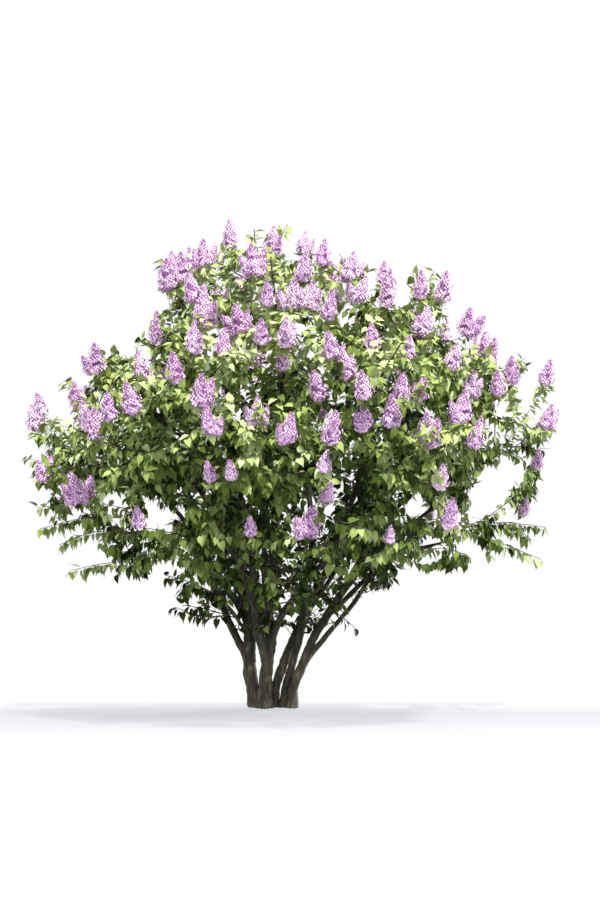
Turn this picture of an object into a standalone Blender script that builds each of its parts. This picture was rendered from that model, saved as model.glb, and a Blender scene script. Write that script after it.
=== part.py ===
"""A flowering lilac bush about 3 m tall, in metres with +Z up.

Six stems rise from one foot and boughs fork off them. Each bough, and each stem, ends where a mass
of foliage begins: twigs that branch from one leader, with leaves and flower heads fused on. The
origin is the middle of the main stem's flat cut at ground level, and the bush's front faces -Y.
"""

import itertools
import math
import random
from collections import namedtuple

import bmesh
import bpy
from mathutils import Matrix, Vector
from mathutils.bvhtree import BVHTree

UP = Vector((0, 0, 1))

# How solids meet: a piece keeps this gap to the one that carries it
SEAT_GAP = 0.0003
CUTTER_SWELL = 1.25 * SEAT_GAP  # how far a limb's cutter stands proud of it

# The crown's outline seen from the front: height, reach to the left, reach to the right
CROWN_MIDDLE = 0.16
CROWN_OUTLINE = (
    (0.45, 0.45, 0.40),
    (0.70, 0.85, 0.65),
    (0.86, 1.36, 1.10),
    (0.98, 1.46, 1.58),
    (1.30, 1.62, 1.63),
    (1.60, 1.76, 1.75),
    (1.85, 1.71, 1.80),
    (2.03, 1.64, 1.74),
    (2.20, 1.38, 1.62),
    (2.50, 1.03, 1.27),
    (2.80, 0.90, 1.02),
    (2.95, 0.72, 0.50),
    (3.06, 0.46, 0.18),
)
CROWN_DEPTH = 0.93  # reach to the front and back, as a share of the mean reach to the sides
CROWN_HEART = Vector((CROWN_MIDDLE, 0, 1.25))  # shoots run outwards from here

# The stems: foot on the ground, the two points that steer the curve, the tip, and the radii
Stem = namedtuple("Stem", "foot knee bend tip foot_radius tip_radius")
STEMS = {
    "main": Stem((0, 0), (0.03, -0.01, 0.40), (0.06, -0.12, 1.10), (0.12, -0.40, 2.08), 0.044, 0.015),
    "left": Stem(
        (-0.04, 0.055), (-0.13, 0.06, 0.35), (-0.09, 0.07, 0.95), (-0.42, 0.0, 2.06), 0.047, 0.015
    ),
    "middle": Stem(
        (0.058, 0.056), (0.08, 0.07, 0.42), (0.50, 0.24, 0.78), (0.74, 0.36, 2.02), 0.031, 0.013
    ),
    "inner": Stem(
        (0.118, 0.036), (0.14, 0.04, 0.35), (0.50, -0.03, 0.95), (0.10, 0.08, 2.30), 0.027, 0.012
    ),
    "right": Stem((0.174, 0.008), (0.13, 0.0, 0.42), (0.90, -0.05, 0.98), (0.90, -0.12, 2.0), 0.032, 0.013),
    "rear": Stem(
        (0.026, 0.118), (0.02, 0.17, 0.45), (-0.10, 0.36, 0.90), (-0.26, 0.58, 2.04), 0.033, 0.013
    ),
}
ROOT_FLARE = 0.22  # how much wider a stem is at the ground than just above it
FLARE_HEIGHT = 0.07
BELOW_GROUND = 0.03  # run of a stem that the cut at ground level takes off
STEM_POINTS = 11
STEM_TAPER = 0.85
WANDER = 0.016  # sideways waver of a limb

# The rings of foliage masses: height of their middles, how far out of the crown's reach they lie,
# how steeply their leaders rise, how much their shoots sweep up, half the height of their space, and
# each mass's direction in degrees from the right-hand side towards the back
Ring = namedtuple("Ring", "height out rise sweep upright around")
RINGS = {
    "crest": Ring(
        2.50, 0.60, 1.6, 0.16, 0.46,
        {"right": 352, "back_right": 48, "back_left": 122, "left": 190, "front": 262},
    ),
    "shoulder": Ring(
        2.10, 0.72, 0.9, 0.14, 0.46,
        {
            "right": 354, "back_right": 42, "back": 92, "back_left": 140,
            "left": 186, "front_left": 238, "front_right": 298,
        },
    ),
    "waist": Ring(
        1.60, 0.74, 0.4, 0.10, 0.44,
        {
            "right": 4, "back_right": 40, "back": 84, "back_left": 128,
            "left": 178, "front_left": 222, "front": 262, "front_right": 308,
        },
    ),
    "skirt": Ring(
        1.08, 0.72, 0.05, -0.08, 0.34,
        {
            "right": 350, "back_right": 60, "back_left": 118,
            "left": 176, "front_left": 236, "front_right": 298,
        },
    ),
    "inner": Ring(0.78, 0.42, 0.2, 0.02, 0.34, {"right": 334, "back": 86, "left": 206, "front": 264}),
}
SUMMIT = Vector((-0.06, 0.02, 2.72))  # middle of the mass on top of the crown

# The open arms on the right: how far each is set off from its ring, and half its height
OPEN_ARMS = {
    "shoulder_right": (Vector((0.04, 0, -0.10)), 0.34),
    "waist_right": (Vector((0.04, 0, -0.14)), 0.24),
    "skirt_right": (Vector((0.02, 0, -0.04)), 0.20),
}

# Height at which a ring's first bough leaves its stem
LEAVES_STEM_AT = {"skirt": 0.28, "waist": 0.56, "shoulder": 1.05, "inner": 0.48}
NEXT_BOUGH = 0.14  # height between boughs of one ring on one stem

BOUGH_RADIUS = 0.027  # at most, where it leaves the stem
BOUGH_SHARE = 0.66  # of the stem's own radius there
BOUGH_TIP_RADIUS = 0.0085
BOUGH_POINTS = 6
BOUGH_TAPER = 0.9
BOUGH_LEAVING = (0.55, 0.45, 0.10)  # how far it starts along the stem, outwards and up
BOUGH_BENDS = (0.36, 0.34)  # how far along its ends steer it
CENTRAL = 0.3  # a mass nearer than this to the crown's middle has no outward side
LEADER_INSIDE = 0.26  # how far before a mass's middle the bough hands over to the leader

# A mass keeps to its own space, and its shoots end evenly spread round the edge of it
MASS_ACROSS = 0.62  # half its width, at most
BETWEEN_MASSES = 0.008  # room that leaves and twigs keep to the edge
EDGE_ROOM = 0.012  # room that the tips keep to it
EDGE_STEPS = 9
TIP_TRIES = 14
OUTWARD_PULL = 0.45
SHOOTS = {"crest": 7, "shoulder": 7, "waist": 7, "skirt": 6, "inner": 6}
LEADER_RUN = 0.07  # the leader goes on this far in the line of its bough
SIDE_LEADER_RISE = 0.7  # a leader off a stem's side rises this steeply
SIDE_LEADER_SHARE = 0.35  # and has this share of the stem's radius
WAY_COST = 0.30  # how much a shoot avoids a long way round
TURN_COST = 0.22  # and a sharp turn
ONWARD_BOW = 0.15  # how far a shoot first goes on in the line of its parent
TWIG_RADIUS = 0.0062
TWIG_TIP_RADIUS = 0.0035
LEADER_TIP_RADIUS = 0.0050
FORK_SHARE = 0.8  # a shoot's radius, of that of its parent
TIP_COVER = 0.9  # share of a tip leaf or flower head that stands past its twig

# Leaves, each of them standing for a spray, and flower heads
LEAF_LENGTH = 0.30
LEAF_WIDTH = 0.23
LEAF_THICKNESS = 0.008
LEAF_FOLD = 0.03
LEAF_DROOP = 0.03
LEAF_ROOT = 0.002
LEAF_SHOULDERS_AT = 0.36  # where along the leaf it is widest
LEAF_KEEL_AT = 0.42  # and thickest
LEAF_OUT = (0.7, 1.0)  # how far a leaf points to its side of the twig
LEAF_ONWARD = (0.3, 0.9)  # along it
LEAF_HANG = (0.5, 1.6)  # and down
LEAF_TILT = (0.0, 0.6)  # how far its face turns to its side
LEAF_RISE = 0.1  # how far a tip leaf rises from its twig's line
LEAF_TRIES = 5
LEAF_SIZES = (1.1, 0.85)  # tried in this order, and so are a tip leaf's sags
TIP_LEAF_SAGS = (0.1, 0.4, 0.8)
LEAF_NODES = ((0.4, "level"), (0.8, "upright"))  # where a shoot bears leaf pairs, and how they spread
HEAD_LENGTH = 0.23
HEAD_RADIUS = 0.062
HEAD_SIDES = 5
HEAD_PROFILE = ((0.0, 0.0), (0.28, 1.0), (0.66, 0.62), (1.0, 0.0))  # height and width, as shares
HEAD_SUNK = 0.02
HEAD_LEAN = 0.4  # how far a flower head follows its twig's line
HEAD_RISE = 0.9  # and stands up
HEAD_SIZES = (1.0, 0.85)
BLOOM_MOST = 0.9
FLOWERS_FROM = 1.15  # height at which the first flower heads show
FLOWERS_FULL = 2.35  # height from which nearly every outer shoot ends in one

LIMB_MARGIN = 0.004  # room that twigs and leaves keep to a limb

BARK_COLOUR = (0.115, 0.090, 0.068, 1)
BARK_ROUGHNESS = 0.85
LEAF_COLOUR = (0.085, 0.160, 0.035, 1)
LEAF_ROUGHNESS = 0.55

Mass = namedtuple("Mass", "name tier centre ring upright carrier")
Limb = namedtuple("Limb", "points radii")
Shoot = namedtuple("Shoot", "points radii aim flowering")
Joint = namedtuple("Joint", "place heading way radius")


def clear_scene():
    for item in list(bpy.data.objects):
        bpy.data.objects.remove(item)


def collection(name, hidden=False):
    made = bpy.data.collections.new(name)
    bpy.context.scene.collection.children.link(made)
    made.hide_render = hidden
    return made


def paint(piece, colour, roughness):
    """Gives a node its own material, named after it."""
    made = bpy.data.materials.new(piece.name)
    made.use_nodes = True
    shader = made.node_tree.nodes["Principled BSDF"]
    shader.inputs["Base Color"].default_value = colour
    shader.inputs["Roughness"].default_value = roughness
    shader.inputs["Metallic"].default_value = 0.0
    piece.data.materials.clear()
    piece.data.materials.append(made)


# The crown's space


def crown_reach(height):
    """Reach of the crown to the left and to the right at a height, or None above and below it."""
    for (low, left, right), (high, next_left, next_right) in zip(CROWN_OUTLINE, CROWN_OUTLINE[1:]):
        if low <= height <= high:
            share = (height - low) / (high - low)
            return left + (next_left - left) * share, right + (next_right - right) * share
    return None


def in_crown(place, room=0.0):
    """True if a place lies inside the crown's outline with that much room to spare."""
    reach = crown_reach(place.z)
    if reach is None or place.z + room > CROWN_OUTLINE[-1][0]:
        return False
    side = reach[1] if place.x > CROWN_MIDDLE else reach[0]
    depth = CROWN_DEPTH * sum(reach) / 2
    across = (place.x - CROWN_MIDDLE) / (side - room)
    deep = place.y / (depth - room)
    return across * across + deep * deep <= 1


def lay_out_masses():
    """All the masses of foliage: the summit, and those round the rings."""
    crest = RINGS["crest"]
    masses = [Mass("summit", "crest", SUMMIT, crest, crest.upright, "inner")]
    for name, ring in RINGS.items():
        left, right = crown_reach(ring.height)
        for side, degrees in ring.around.items():
            turn = math.radians(degrees)
            across = ring.out * (right if math.cos(turn) > 0 else left) * math.cos(turn)
            deep = ring.out * CROWN_DEPTH * (left + right) / 2 * math.sin(turn)
            shift, upright = OPEN_ARMS.get(f"{name}_{side}", (Vector(), ring.upright))
            centre = Vector((CROWN_MIDDLE + across, deep, ring.height)) + shift
            masses.append(Mass(f"{name}_{side}", name, centre, ring, upright, nearest_stem(centre)))
    return masses


def direction_of(place):
    return math.atan2(place[1], place[0] - CROWN_MIDDLE)


def nearest_stem(centre):
    """The outer stem that leans most nearly towards a mass."""

    def turned(name):
        apart = abs(direction_of(STEMS[name].tip) - direction_of(centre))
        return min(apart, 2 * math.pi - apart)

    return min((name for name in STEMS if name != "inner"), key=turned)


def in_space(mass, place, room, masses):
    """True if a place lies in the mass's own space: the part of the crown nearest to its middle."""
    offset = place - mass.centre
    wide = math.hypot(offset.x, offset.y) / MASS_ACROSS
    if wide * wide + (offset.z / mass.upright) ** 2 > 1 or not in_crown(place, room):
        return False
    for other in masses:
        if other is mass:
            continue
        towards = (mass.centre - other.centre).normalized()
        middle = (mass.centre + other.centre) / 2
        if (place - middle).dot(towards) < room:
            return False
    return True


# Limbs: the stems and boughs


def curve_point(controls, share):
    """A point on the cubic curve that four control points steer."""
    rest = 1 - share
    weights = (rest**3, 3 * rest * rest * share, 3 * rest * share * share, share**3)
    return sum((Vector(c) * w for c, w in zip(controls, weights)), Vector())


def limb_points(controls, count, seed):
    """Points along a limb, wavering a little to the side between its two ends."""
    chance = random.Random(seed)
    points = []
    for i in range(count):
        share = i / (count - 1)
        waver = WANDER * math.sin(math.pi * share)
        aside = Vector((chance.uniform(-1, 1), chance.uniform(-1, 1), 0)) * waver
        points.append(curve_point(controls, share) + aside)
    return points


def stem_limb(name):
    stem = STEMS[name]
    foot = Vector((*stem.foot, 0))
    points = limb_points((foot, stem.knee, stem.bend, stem.tip), STEM_POINTS, f"{name} stem")
    radii = []
    for i, point in enumerate(points):
        taper = (1 - i / (STEM_POINTS - 1)) ** STEM_TAPER
        radius = stem.tip_radius + (stem.foot_radius - stem.tip_radius) * taper
        radii.append(radius * (1 + ROOT_FLARE * math.exp(-point.z / FLARE_HEIGHT)))
    above = foot.lerp(points[1], FLARE_HEIGHT / points[1].z)
    points.insert(1, above)
    radii.insert(1, stem.foot_radius * (1 + ROOT_FLARE / math.e))
    start = foot - (above - foot).normalized() * BELOW_GROUND
    return Limb([start, *points], [radii[0], *radii])


def at_height(limb, height):
    """Place, heading and radius of a limb where it first reaches a height."""
    for i, (low, high) in enumerate(zip(limb.points, limb.points[1:])):
        if low.z <= height <= high.z:
            share = (height - low.z) / (high.z - low.z)
            radius = limb.radii[i] + (limb.radii[i + 1] - limb.radii[i]) * share
            return low.lerp(high, share), (high - low).normalized(), radius
    raise ValueError("the limb doesn't reach that height")


def outward(mass):
    """Level direction from the crown's middle to the mass."""
    away = Vector((mass.centre.x - CROWN_MIDDLE, mass.centre.y, 0))
    return away.normalized() if away.length > CENTRAL else Vector()


def arrival(mass):
    """Direction in which the mass's leader runs through its middle."""
    return (outward(mass) + UP * mass.ring.rise).normalized()


def bough_limb(mass, stem, height):
    start, heading, stem_radius = at_height(stem, height)
    tip = mass.centre - arrival(mass) * LEADER_INSIDE
    length = (tip - start).length
    along, out, up = BOUGH_LEAVING
    leaving = (heading * along + outward(mass) * out + UP * up).normalized()
    first, last = BOUGH_BENDS
    controls = (start, start + leaving * length * first, tip - arrival(mass) * length * last, tip)
    points = limb_points(controls, BOUGH_POINTS, f"{mass.name} bough")
    thick = min(BOUGH_RADIUS, stem_radius * BOUGH_SHARE)
    radii = []
    for i in range(BOUGH_POINTS):
        taper = (1 - i / (BOUGH_POINTS - 1)) ** BOUGH_TAPER
        radii.append(BOUGH_TIP_RADIUS + (thick - BOUGH_TIP_RADIUS) * taper)
    return Limb(points, radii)


def outline_curve(name, sides):
    """A regular polygon as a curve, the cross-section of a limb or a twig."""
    data = bpy.data.curves.new(name, "CURVE")
    data.dimensions = "2D"
    spline = data.splines.new("POLY")
    spline.points.add(sides - 1)
    for i, point in enumerate(spline.points):
        turn = 2 * math.pi * i / sides
        point.co = (math.cos(turn), math.sin(turn), 0, 1)
    spline.use_cyclic_u = True
    made = bpy.data.objects.new(name, data)
    CUTTERS.objects.link(made)
    made.hide_render = True
    return made


def tube(name, points, radii, section, home):
    """A tapering tube along points, made as a curve and turned into a mesh with its caps welded."""
    data = bpy.data.curves.new(name, "CURVE")
    data.dimensions = "3D"
    data.bevel_mode = "OBJECT"
    data.bevel_object = section
    data.use_fill_caps = True
    data.twist_mode = "MINIMUM"
    spline = data.splines.new("POLY")
    spline.points.add(len(points) - 1)
    for point, place, radius in zip(spline.points, points, radii):
        point.co = (*place, 1)
        point.radius = radius
    curve = bpy.data.objects.new(name + "_line", data)
    home.objects.link(curve)
    bpy.context.view_layer.update()
    graph = bpy.context.evaluated_depsgraph_get()
    mesh = bpy.data.meshes.new_from_object(curve.evaluated_get(graph))
    bpy.data.objects.remove(curve)
    bpy.data.curves.remove(data)
    shape = bmesh.new()
    shape.from_mesh(mesh)
    bmesh.ops.remove_doubles(shape, verts=shape.verts, dist=1e-5)
    bmesh.ops.recalc_face_normals(shape, faces=shape.faces)
    shape.to_mesh(mesh)
    shape.free()
    made = bpy.data.objects.new(name, mesh)
    home.objects.link(made)
    return made


def cut_at_ground(piece):
    shape = bmesh.new()
    shape.from_mesh(piece.data)
    cut = bmesh.ops.bisect_plane(
        shape,
        geom=shape.verts[:] + shape.edges[:] + shape.faces[:],
        plane_co=(0, 0, 0),
        plane_no=(0, 0, -1),
        clear_outer=True,
    )
    rim = [e for e in cut["geom_cut"] if isinstance(e, bmesh.types.BMEdge)]
    bmesh.ops.contextual_create(shape, geom=rim)
    bmesh.ops.recalc_face_normals(shape, faces=shape.faces)
    shape.to_mesh(piece.data)
    shape.free()


def cutter_for(name, limb):
    """A hidden copy of a stem, a little fatter, that cuts what meets the stem clear of it."""
    swollen = [radius + CUTTER_SWELL for radius in limb.radii]
    made = tube(name + "_clearance", limb.points, swollen, OCTAGON, CUTTERS)
    made.hide_render = True
    made.display_type = "WIRE"
    return made


def cut_clear(piece, cutter):
    cut = piece.modifiers.new("clear_of_" + cutter.name, "BOOLEAN")
    cut.operation = "DIFFERENCE"
    cut.object = cutter


def apply_modifiers(piece):
    """Bakes a piece's modifiers into its mesh."""
    bpy.context.view_layer.update()
    graph = bpy.context.evaluated_depsgraph_get()
    mesh = bpy.data.meshes.new_from_object(piece.evaluated_get(graph))
    piece.modifiers.clear()
    piece.data = mesh


# Twigs: how the shoots of a mass grow


def bloom_chance(height):
    share = (height - FLOWERS_FROM) / (FLOWERS_FULL - FLOWERS_FROM)
    return BLOOM_MOST * max(0.0, min(1.0, share))


def edge_place(mass, way, masses):
    """The place where a line from the mass's middle meets the edge of its space."""
    near, far = 0.0, MASS_ACROSS
    for _ in range(EDGE_STEPS):
        middle = (near + far) / 2
        if in_space(mass, mass.centre + way * middle, EDGE_ROOM, masses):
            near = middle
        else:
            far = middle
    return mass.centre + way * near


def shoot_tips(mass, count, masses):
    """Where a mass's shoots end, the leader's first. Each tip after it is that one of a few seeded
    tries that lies farthest from the tips before it and farthest out of the crown."""
    chance = random.Random(f"{mass.name} tips")
    tips = [edge_place(mass, arrival(mass), masses)]
    while len(tips) < count:
        tries = []
        for _ in range(TIP_TRIES):
            rise = chance.uniform(-1, 1)
            turn = chance.uniform(0, 2 * math.pi)
            flat = math.sqrt(1 - rise * rise)
            way = Vector((flat * math.cos(turn), flat * math.sin(turn), rise))
            tries.append(edge_place(mass, way, masses))

        def worth(place):
            apart = min((place - tip).length for tip in tips)
            return apart + OUTWARD_PULL * (place - CROWN_HEART).length

        tips.append(max(tries, key=worth))
    return tips


def bent_line(start, bend, tip, count):
    """Points on the arc from start to tip that a bend point steers."""
    line = []
    for i in range(count):
        share = i / (count - 1)
        line.append(start.lerp(bend, share).lerp(bend.lerp(tip, share), share))
    return line


def end_of_shoot(origin, tip, flowering):
    """Where a twig stops short of its tip, and the way that its last leaf or flower head points.

    Flower heads stand up, and leaves reach outwards."""
    onward = (tip - origin).normalized()
    if flowering:
        aim = (onward * HEAD_LEAN + UP * HEAD_RISE).normalized()
        return tip - aim * HEAD_LENGTH * TIP_COVER, aim
    aim = (onward + UP * LEAF_RISE).normalized()
    return tip - aim * LEAF_LENGTH * TIP_COVER, aim


def nearest_joint(joints, tip):
    """The joint from which a shoot has the shortest and straightest way to its tip."""

    def cost(joint):
        span = tip - joint.place
        turn = 1 - span.normalized().dot(joint.heading)
        return span.length + WAY_COST * joint.way + TURN_COST * turn

    return min(joints, key=cost)


def grow(mass, start, heading, radius, count, masses):
    """The leader and shoots of a mass. Each shoot springs from a joint of those before it."""
    chance = random.Random(f"{mass.name} flowers")
    shoots, joints = [], []
    for rank, tip in enumerate(shoot_tips(mass, count, masses)):
        flowering = chance.random() < bloom_chance(tip.z)
        if flowering:
            away = tip - mass.centre
            tip = tip - Vector((away.x, away.y, 0)) * HEAD_RADIUS / away.length
        if rank == 0:
            origin = Joint(start, heading, 0.0, radius)
            end, aim = end_of_shoot(mass.centre, tip, flowering)
            line = [start, *bent_line(start + heading * LEADER_RUN, mass.centre, end, 3)]
            thin = LEADER_TIP_RADIUS
        else:
            origin = nearest_joint(joints, tip)
            end, aim = end_of_shoot(origin.place, tip, flowering)
            span = end - origin.place
            bow = origin.heading * ONWARD_BOW - UP * mass.ring.sweep
            line = bent_line(origin.place, origin.place + span / 2 + bow * span.length, end, 3)
            radius = min(TWIG_RADIUS, origin.radius * FORK_SHARE)
            thin = TWIG_TIP_RADIUS
        steps = len(line) - 1
        radii = [radius + (thin - radius) * i / steps for i in range(steps + 1)]
        shoots.append(Shoot(line, radii, aim, flowering))
        for i in range(1, steps):
            way = origin.way + (line[i] - line[0]).length
            joints.append(Joint(line[i], (line[i + 1] - line[i]).normalized(), way, radii[i]))
    return shoots


# Leaves and flower heads


def frame(place, along, above):
    """Matrix that puts a leaf's root at place, its midrib along one direction and its face up."""
    across = along.cross(above).normalized()
    face = across.cross(along)
    turned = Matrix((across, along, face)).transposed().to_4x4()
    return Matrix.Translation(place) @ turned


def leaf_mesh(size):
    """A folded leaf of eight faces: an octahedron drawn out to a root, two shoulders and a tip."""
    shape = bmesh.new()
    bmesh.ops.create_uvsphere(shape, u_segments=4, v_segments=2, radius=1)
    for corner in shape.verts:
        x, y, z = corner.co
        if abs(z) > 0.5:
            corner.co = (0, LEAF_LENGTH * LEAF_KEEL_AT, math.copysign(LEAF_THICKNESS / 2, z))
        elif abs(x) > 0.5:
            corner.co = (math.copysign(LEAF_WIDTH / 2, x), LEAF_LENGTH * LEAF_SHOULDERS_AT, LEAF_FOLD)
        else:
            corner.co = (0, LEAF_LENGTH, -LEAF_DROOP) if y > 0 else (0, -LEAF_ROOT, 0)
        corner.co *= size
    bmesh.ops.recalc_face_normals(shape, faces=shape.faces)
    mesh = bpy.data.meshes.new("leaf")
    shape.to_mesh(mesh)
    shape.free()
    return mesh


def head_mesh(size):
    """A flower head: a five-sided cone with full shoulders, standing on its narrow root."""
    shape = bmesh.new()
    bmesh.ops.create_uvsphere(shape, u_segments=HEAD_SIDES, v_segments=len(HEAD_PROFILE) - 1, radius=1)
    for corner in shape.verts:
        row = round((1 - math.acos(max(-1, min(1, corner.co.z))) / math.pi) * (len(HEAD_PROFILE) - 1))
        height, wide = HEAD_PROFILE[row]
        turn = math.atan2(corner.co.y, corner.co.x) + row * math.pi / HEAD_SIDES
        reach = wide * HEAD_RADIUS
        corner.co = (reach * math.cos(turn), reach * math.sin(turn), height * HEAD_LENGTH)
        corner.co *= size
    bmesh.ops.recalc_face_normals(shape, faces=shape.faces)
    mesh = bpy.data.meshes.new("head")
    shape.to_mesh(mesh)
    shape.free()
    return mesh


def search_tree(mesh):
    return BVHTree.FromPolygons([v.co for v in mesh.vertices], [p.vertices[:] for p in mesh.polygons])


class Foliage:
    """The pieces of one mass. It keeps them in the mass's space and clear of limbs and each other."""

    def __init__(self, mass, masses, limb_tree):
        self.mass = mass
        self.masses = masses
        self.limb_tree = limb_tree
        self.pieces = bpy.data.collections.new(mass.name + "_pieces")
        bpy.context.scene.collection.children.link(self.pieces)
        self.placed = []

    def in_limb(self, place):
        near, normal, _, _ = self.limb_tree.find_nearest(place)
        return (place - near).dot(normal) < 0

    def keeps_in(self, mesh):
        """True if a piece keeps to the mass's space and neither crosses nor lies in a limb."""
        places = [v.co for v in mesh.vertices]
        if not all(in_space(self.mass, place, BETWEEN_MASSES, self.masses) for place in places):
            return False
        return not search_tree(mesh).overlap(self.limb_tree) and not any(map(self.in_limb, places))

    def stands_free(self, mesh, shoot):
        """True if a leaf or flower head touches nothing but the twig that bears it."""
        tree = search_tree(mesh)
        return not any(tree.overlap(other) for owner, other in self.placed if owner is not shoot)

    def note(self, mesh, shoot=None):
        self.placed.append((shoot, search_tree(mesh)))

    def bear(self, make, sizes, places, shoot):
        """Puts a leaf or flower head on a shoot at the first size and place where it fits."""
        for size, place in itertools.product(sizes, places):
            mesh = make(size)
            mesh.transform(place)
            if self.keeps_in(mesh) and self.stands_free(mesh, shoot):
                self.pieces.objects.link(bpy.data.objects.new(f"{self.mass.name}_{make.__name__}", mesh))
                self.note(mesh)
                return True
        return False


def leaf_frames(here, heading, side, chance):
    """A few seeded ways in which a leaf may leave its twig at a place, to one side."""
    for _ in range(LEAF_TRIES):
        away = side * chance.uniform(*LEAF_OUT) + heading * chance.uniform(*LEAF_ONWARD)
        along = (away.normalized() - UP * chance.uniform(*LEAF_HANG)).normalized()
        face = (UP + side * chance.uniform(*LEAF_TILT)).normalized()
        yield frame(here, along, face)


def clothe(foliage, shoot, chance):
    """Puts a flower head or a leaf at a shoot's tip, and leaves on its sides."""
    tip = shoot.points[-1]
    headed = False
    if shoot.flowering:
        turn = UP.rotation_difference(shoot.aim).to_matrix().to_4x4()
        places = [Matrix.Translation(tip - shoot.aim * HEAD_SUNK * share) @ turn for share in (1, 2)]
        headed = foliage.bear(head_mesh, HEAD_SIZES, places, shoot)
    if not headed:
        places = [frame(tip, (shoot.aim - UP * sag).normalized(), UP) for sag in TIP_LEAF_SAGS]
        foliage.bear(leaf_mesh, LEAF_SIZES, places, shoot)
    for share, pairs in LEAF_NODES:
        index = min(int(share * (len(shoot.points) - 1)), len(shoot.points) - 2)
        part = share * (len(shoot.points) - 1) - index
        here = shoot.points[index].lerp(shoot.points[index + 1], part)
        heading = (shoot.points[index + 1] - shoot.points[index]).normalized()
        level = heading.cross(UP).normalized()
        side = level if pairs == "level" else level.cross(heading)
        for sign in (1, -1):
            frames = list(leaf_frames(here, heading, side * sign, chance))
            foliage.bear(leaf_mesh, LEAF_SIZES, frames, shoot)


# Building


def join_mass(foliage, root):
    """Fuses a mass's twigs, leaves and flower heads into one solid on its leader."""
    join = root.modifiers.new("fused", "BOOLEAN")
    join.operation = "UNION"
    join.operand_type = "COLLECTION"
    join.collection = foliage.pieces
    join.solver = "MANIFOLD"
    apply_modifiers(root)
    for item in list(foliage.pieces.objects):
        bpy.data.objects.remove(item)
    bpy.data.collections.remove(foliage.pieces)
    keep_largest(root)
    root.name = root.data.name = "foliage_" + foliage.mass.name
    paint(root, LEAF_COLOUR, LEAF_ROUGHNESS)


def keep_largest(piece):
    """Drops loose scraps that a fused mass leaves beside its main body."""
    shape = bmesh.new()
    shape.from_mesh(piece.data)
    left = set(shape.verts)
    groups = []
    while left:
        group, edge = set(), [left.pop()]
        while edge:
            corner = edge.pop()
            group.add(corner)
            for link in corner.link_edges:
                other = link.other_vert(corner)
                if other in left:
                    left.discard(other)
                    edge.append(other)
        groups.append(group)
    largest = max(groups, key=len)
    scraps = [v for v in shape.verts if v not in largest]
    bmesh.ops.delete(shape, geom=scraps, context="VERTS")
    shape.to_mesh(piece.data)
    shape.free()


def build_mass(mass, carrier_name, carrier, masses, limb_tree, home):
    """One mass of foliage, standing on the tip of its limb or, low down, on a stem's side."""
    foliage = Foliage(mass, masses, limb_tree)
    on_side = mass.tier == "inner"
    if on_side:
        start, _, radius = at_height(carrier, LEAVES_STEM_AT["inner"])
        heading = (outward(mass) + UP * SIDE_LEADER_RISE).normalized()
        radius *= SIDE_LEADER_SHARE
    else:
        heading = (carrier.points[-1] - carrier.points[-2]).normalized()
        start = carrier.points[-1] + heading * SEAT_GAP
        radius = carrier.radii[-1]
    shoots = grow(mass, start, heading, radius, SHOOTS[mass.tier], masses)
    kept = []
    for rank, shoot in enumerate(shoots):
        twig = tube(f"{mass.name}_twig_{rank}", shoot.points, shoot.radii, TRIANGLE, foliage.pieces)
        if rank == 0:
            root = twig
            foliage.pieces.objects.unlink(root)
            home.objects.link(root)
            if on_side:
                cut_clear(root, bpy.data.objects[carrier_name + "_clearance"])
        elif not foliage.keeps_in(twig.data):
            bpy.data.objects.remove(twig)
            continue
        foliage.note(twig.data, shoot)
        kept.append(shoot)
    chance = random.Random(f"{mass.name} leaves")
    for shoot in kept:
        clothe(foliage, shoot, chance)
    join_mass(foliage, root)


def limb_margin_tree(limbs):
    """One search tree over all the limbs, each fattened by the room that foliage keeps to it."""
    corners, faces = [], []
    for name, limb in limbs.items():
        wide = [radius + LIMB_MARGIN for radius in limb.radii]
        shape = tube(name + "_room", limb.points, wide, HEXAGON, CUTTERS)
        first = len(corners)
        corners += [v.co.copy() for v in shape.data.vertices]
        faces += [[first + i for i in p.vertices] for p in shape.data.polygons]
        bpy.data.objects.remove(shape)
    return BVHTree.FromPolygons(corners, faces)


def build():
    plant = collection("lilac_bush")
    masses = lay_out_masses()

    stems = {name: stem_limb(name) for name in STEMS}
    limbs = {f"stem_{name}": limb for name, limb in stems.items()}
    carriers = {}
    taken = {}
    for mass in masses:
        if mass.tier in ("crest", "inner"):
            carriers[mass.name] = f"stem_{mass.carrier}"
            continue
        height = LEAVES_STEM_AT[mass.tier] + NEXT_BOUGH * taken.get((mass.tier, mass.carrier), 0)
        taken[mass.tier, mass.carrier] = taken.get((mass.tier, mass.carrier), 0) + 1
        carriers[mass.name] = f"bough_{mass.name}"
        limbs[carriers[mass.name]] = bough_limb(mass, stems[mass.carrier], height)

    before = []
    for name in STEMS:
        node = f"stem_{name}"
        piece = tube(node, limbs[node].points, limbs[node].radii, OCTAGON, plant)
        cut_at_ground(piece)
        for cutter in before:
            cut_clear(piece, cutter)
        before.append(cutter_for(node, limbs[node]))
        paint(piece, BARK_COLOUR, BARK_ROUGHNESS)
    for mass in masses:
        node = carriers[mass.name]
        if node.startswith("bough_"):
            piece = tube(node, limbs[node].points, limbs[node].radii, HEXAGON, plant)
            cut_clear(piece, bpy.data.objects[f"stem_{mass.carrier}_clearance"])
            paint(piece, BARK_COLOUR, BARK_ROUGHNESS)

    limb_tree = limb_margin_tree(limbs)
    for mass in masses:
        node = carriers[mass.name]
        build_mass(mass, node, limbs[node], masses, limb_tree, plant)


clear_scene()
CUTTERS = collection("cutters", hidden=True)
TRIANGLE = outline_curve("three_sided", 3)
HEXAGON = outline_curve("six_sided", 6)
OCTAGON = outline_curve("eight_sided", 8)
build()
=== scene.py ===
import math
import random
from collections import namedtuple

import bmesh
import bpy
import numpy as np
from mathutils import Matrix, Vector, noise


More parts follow.
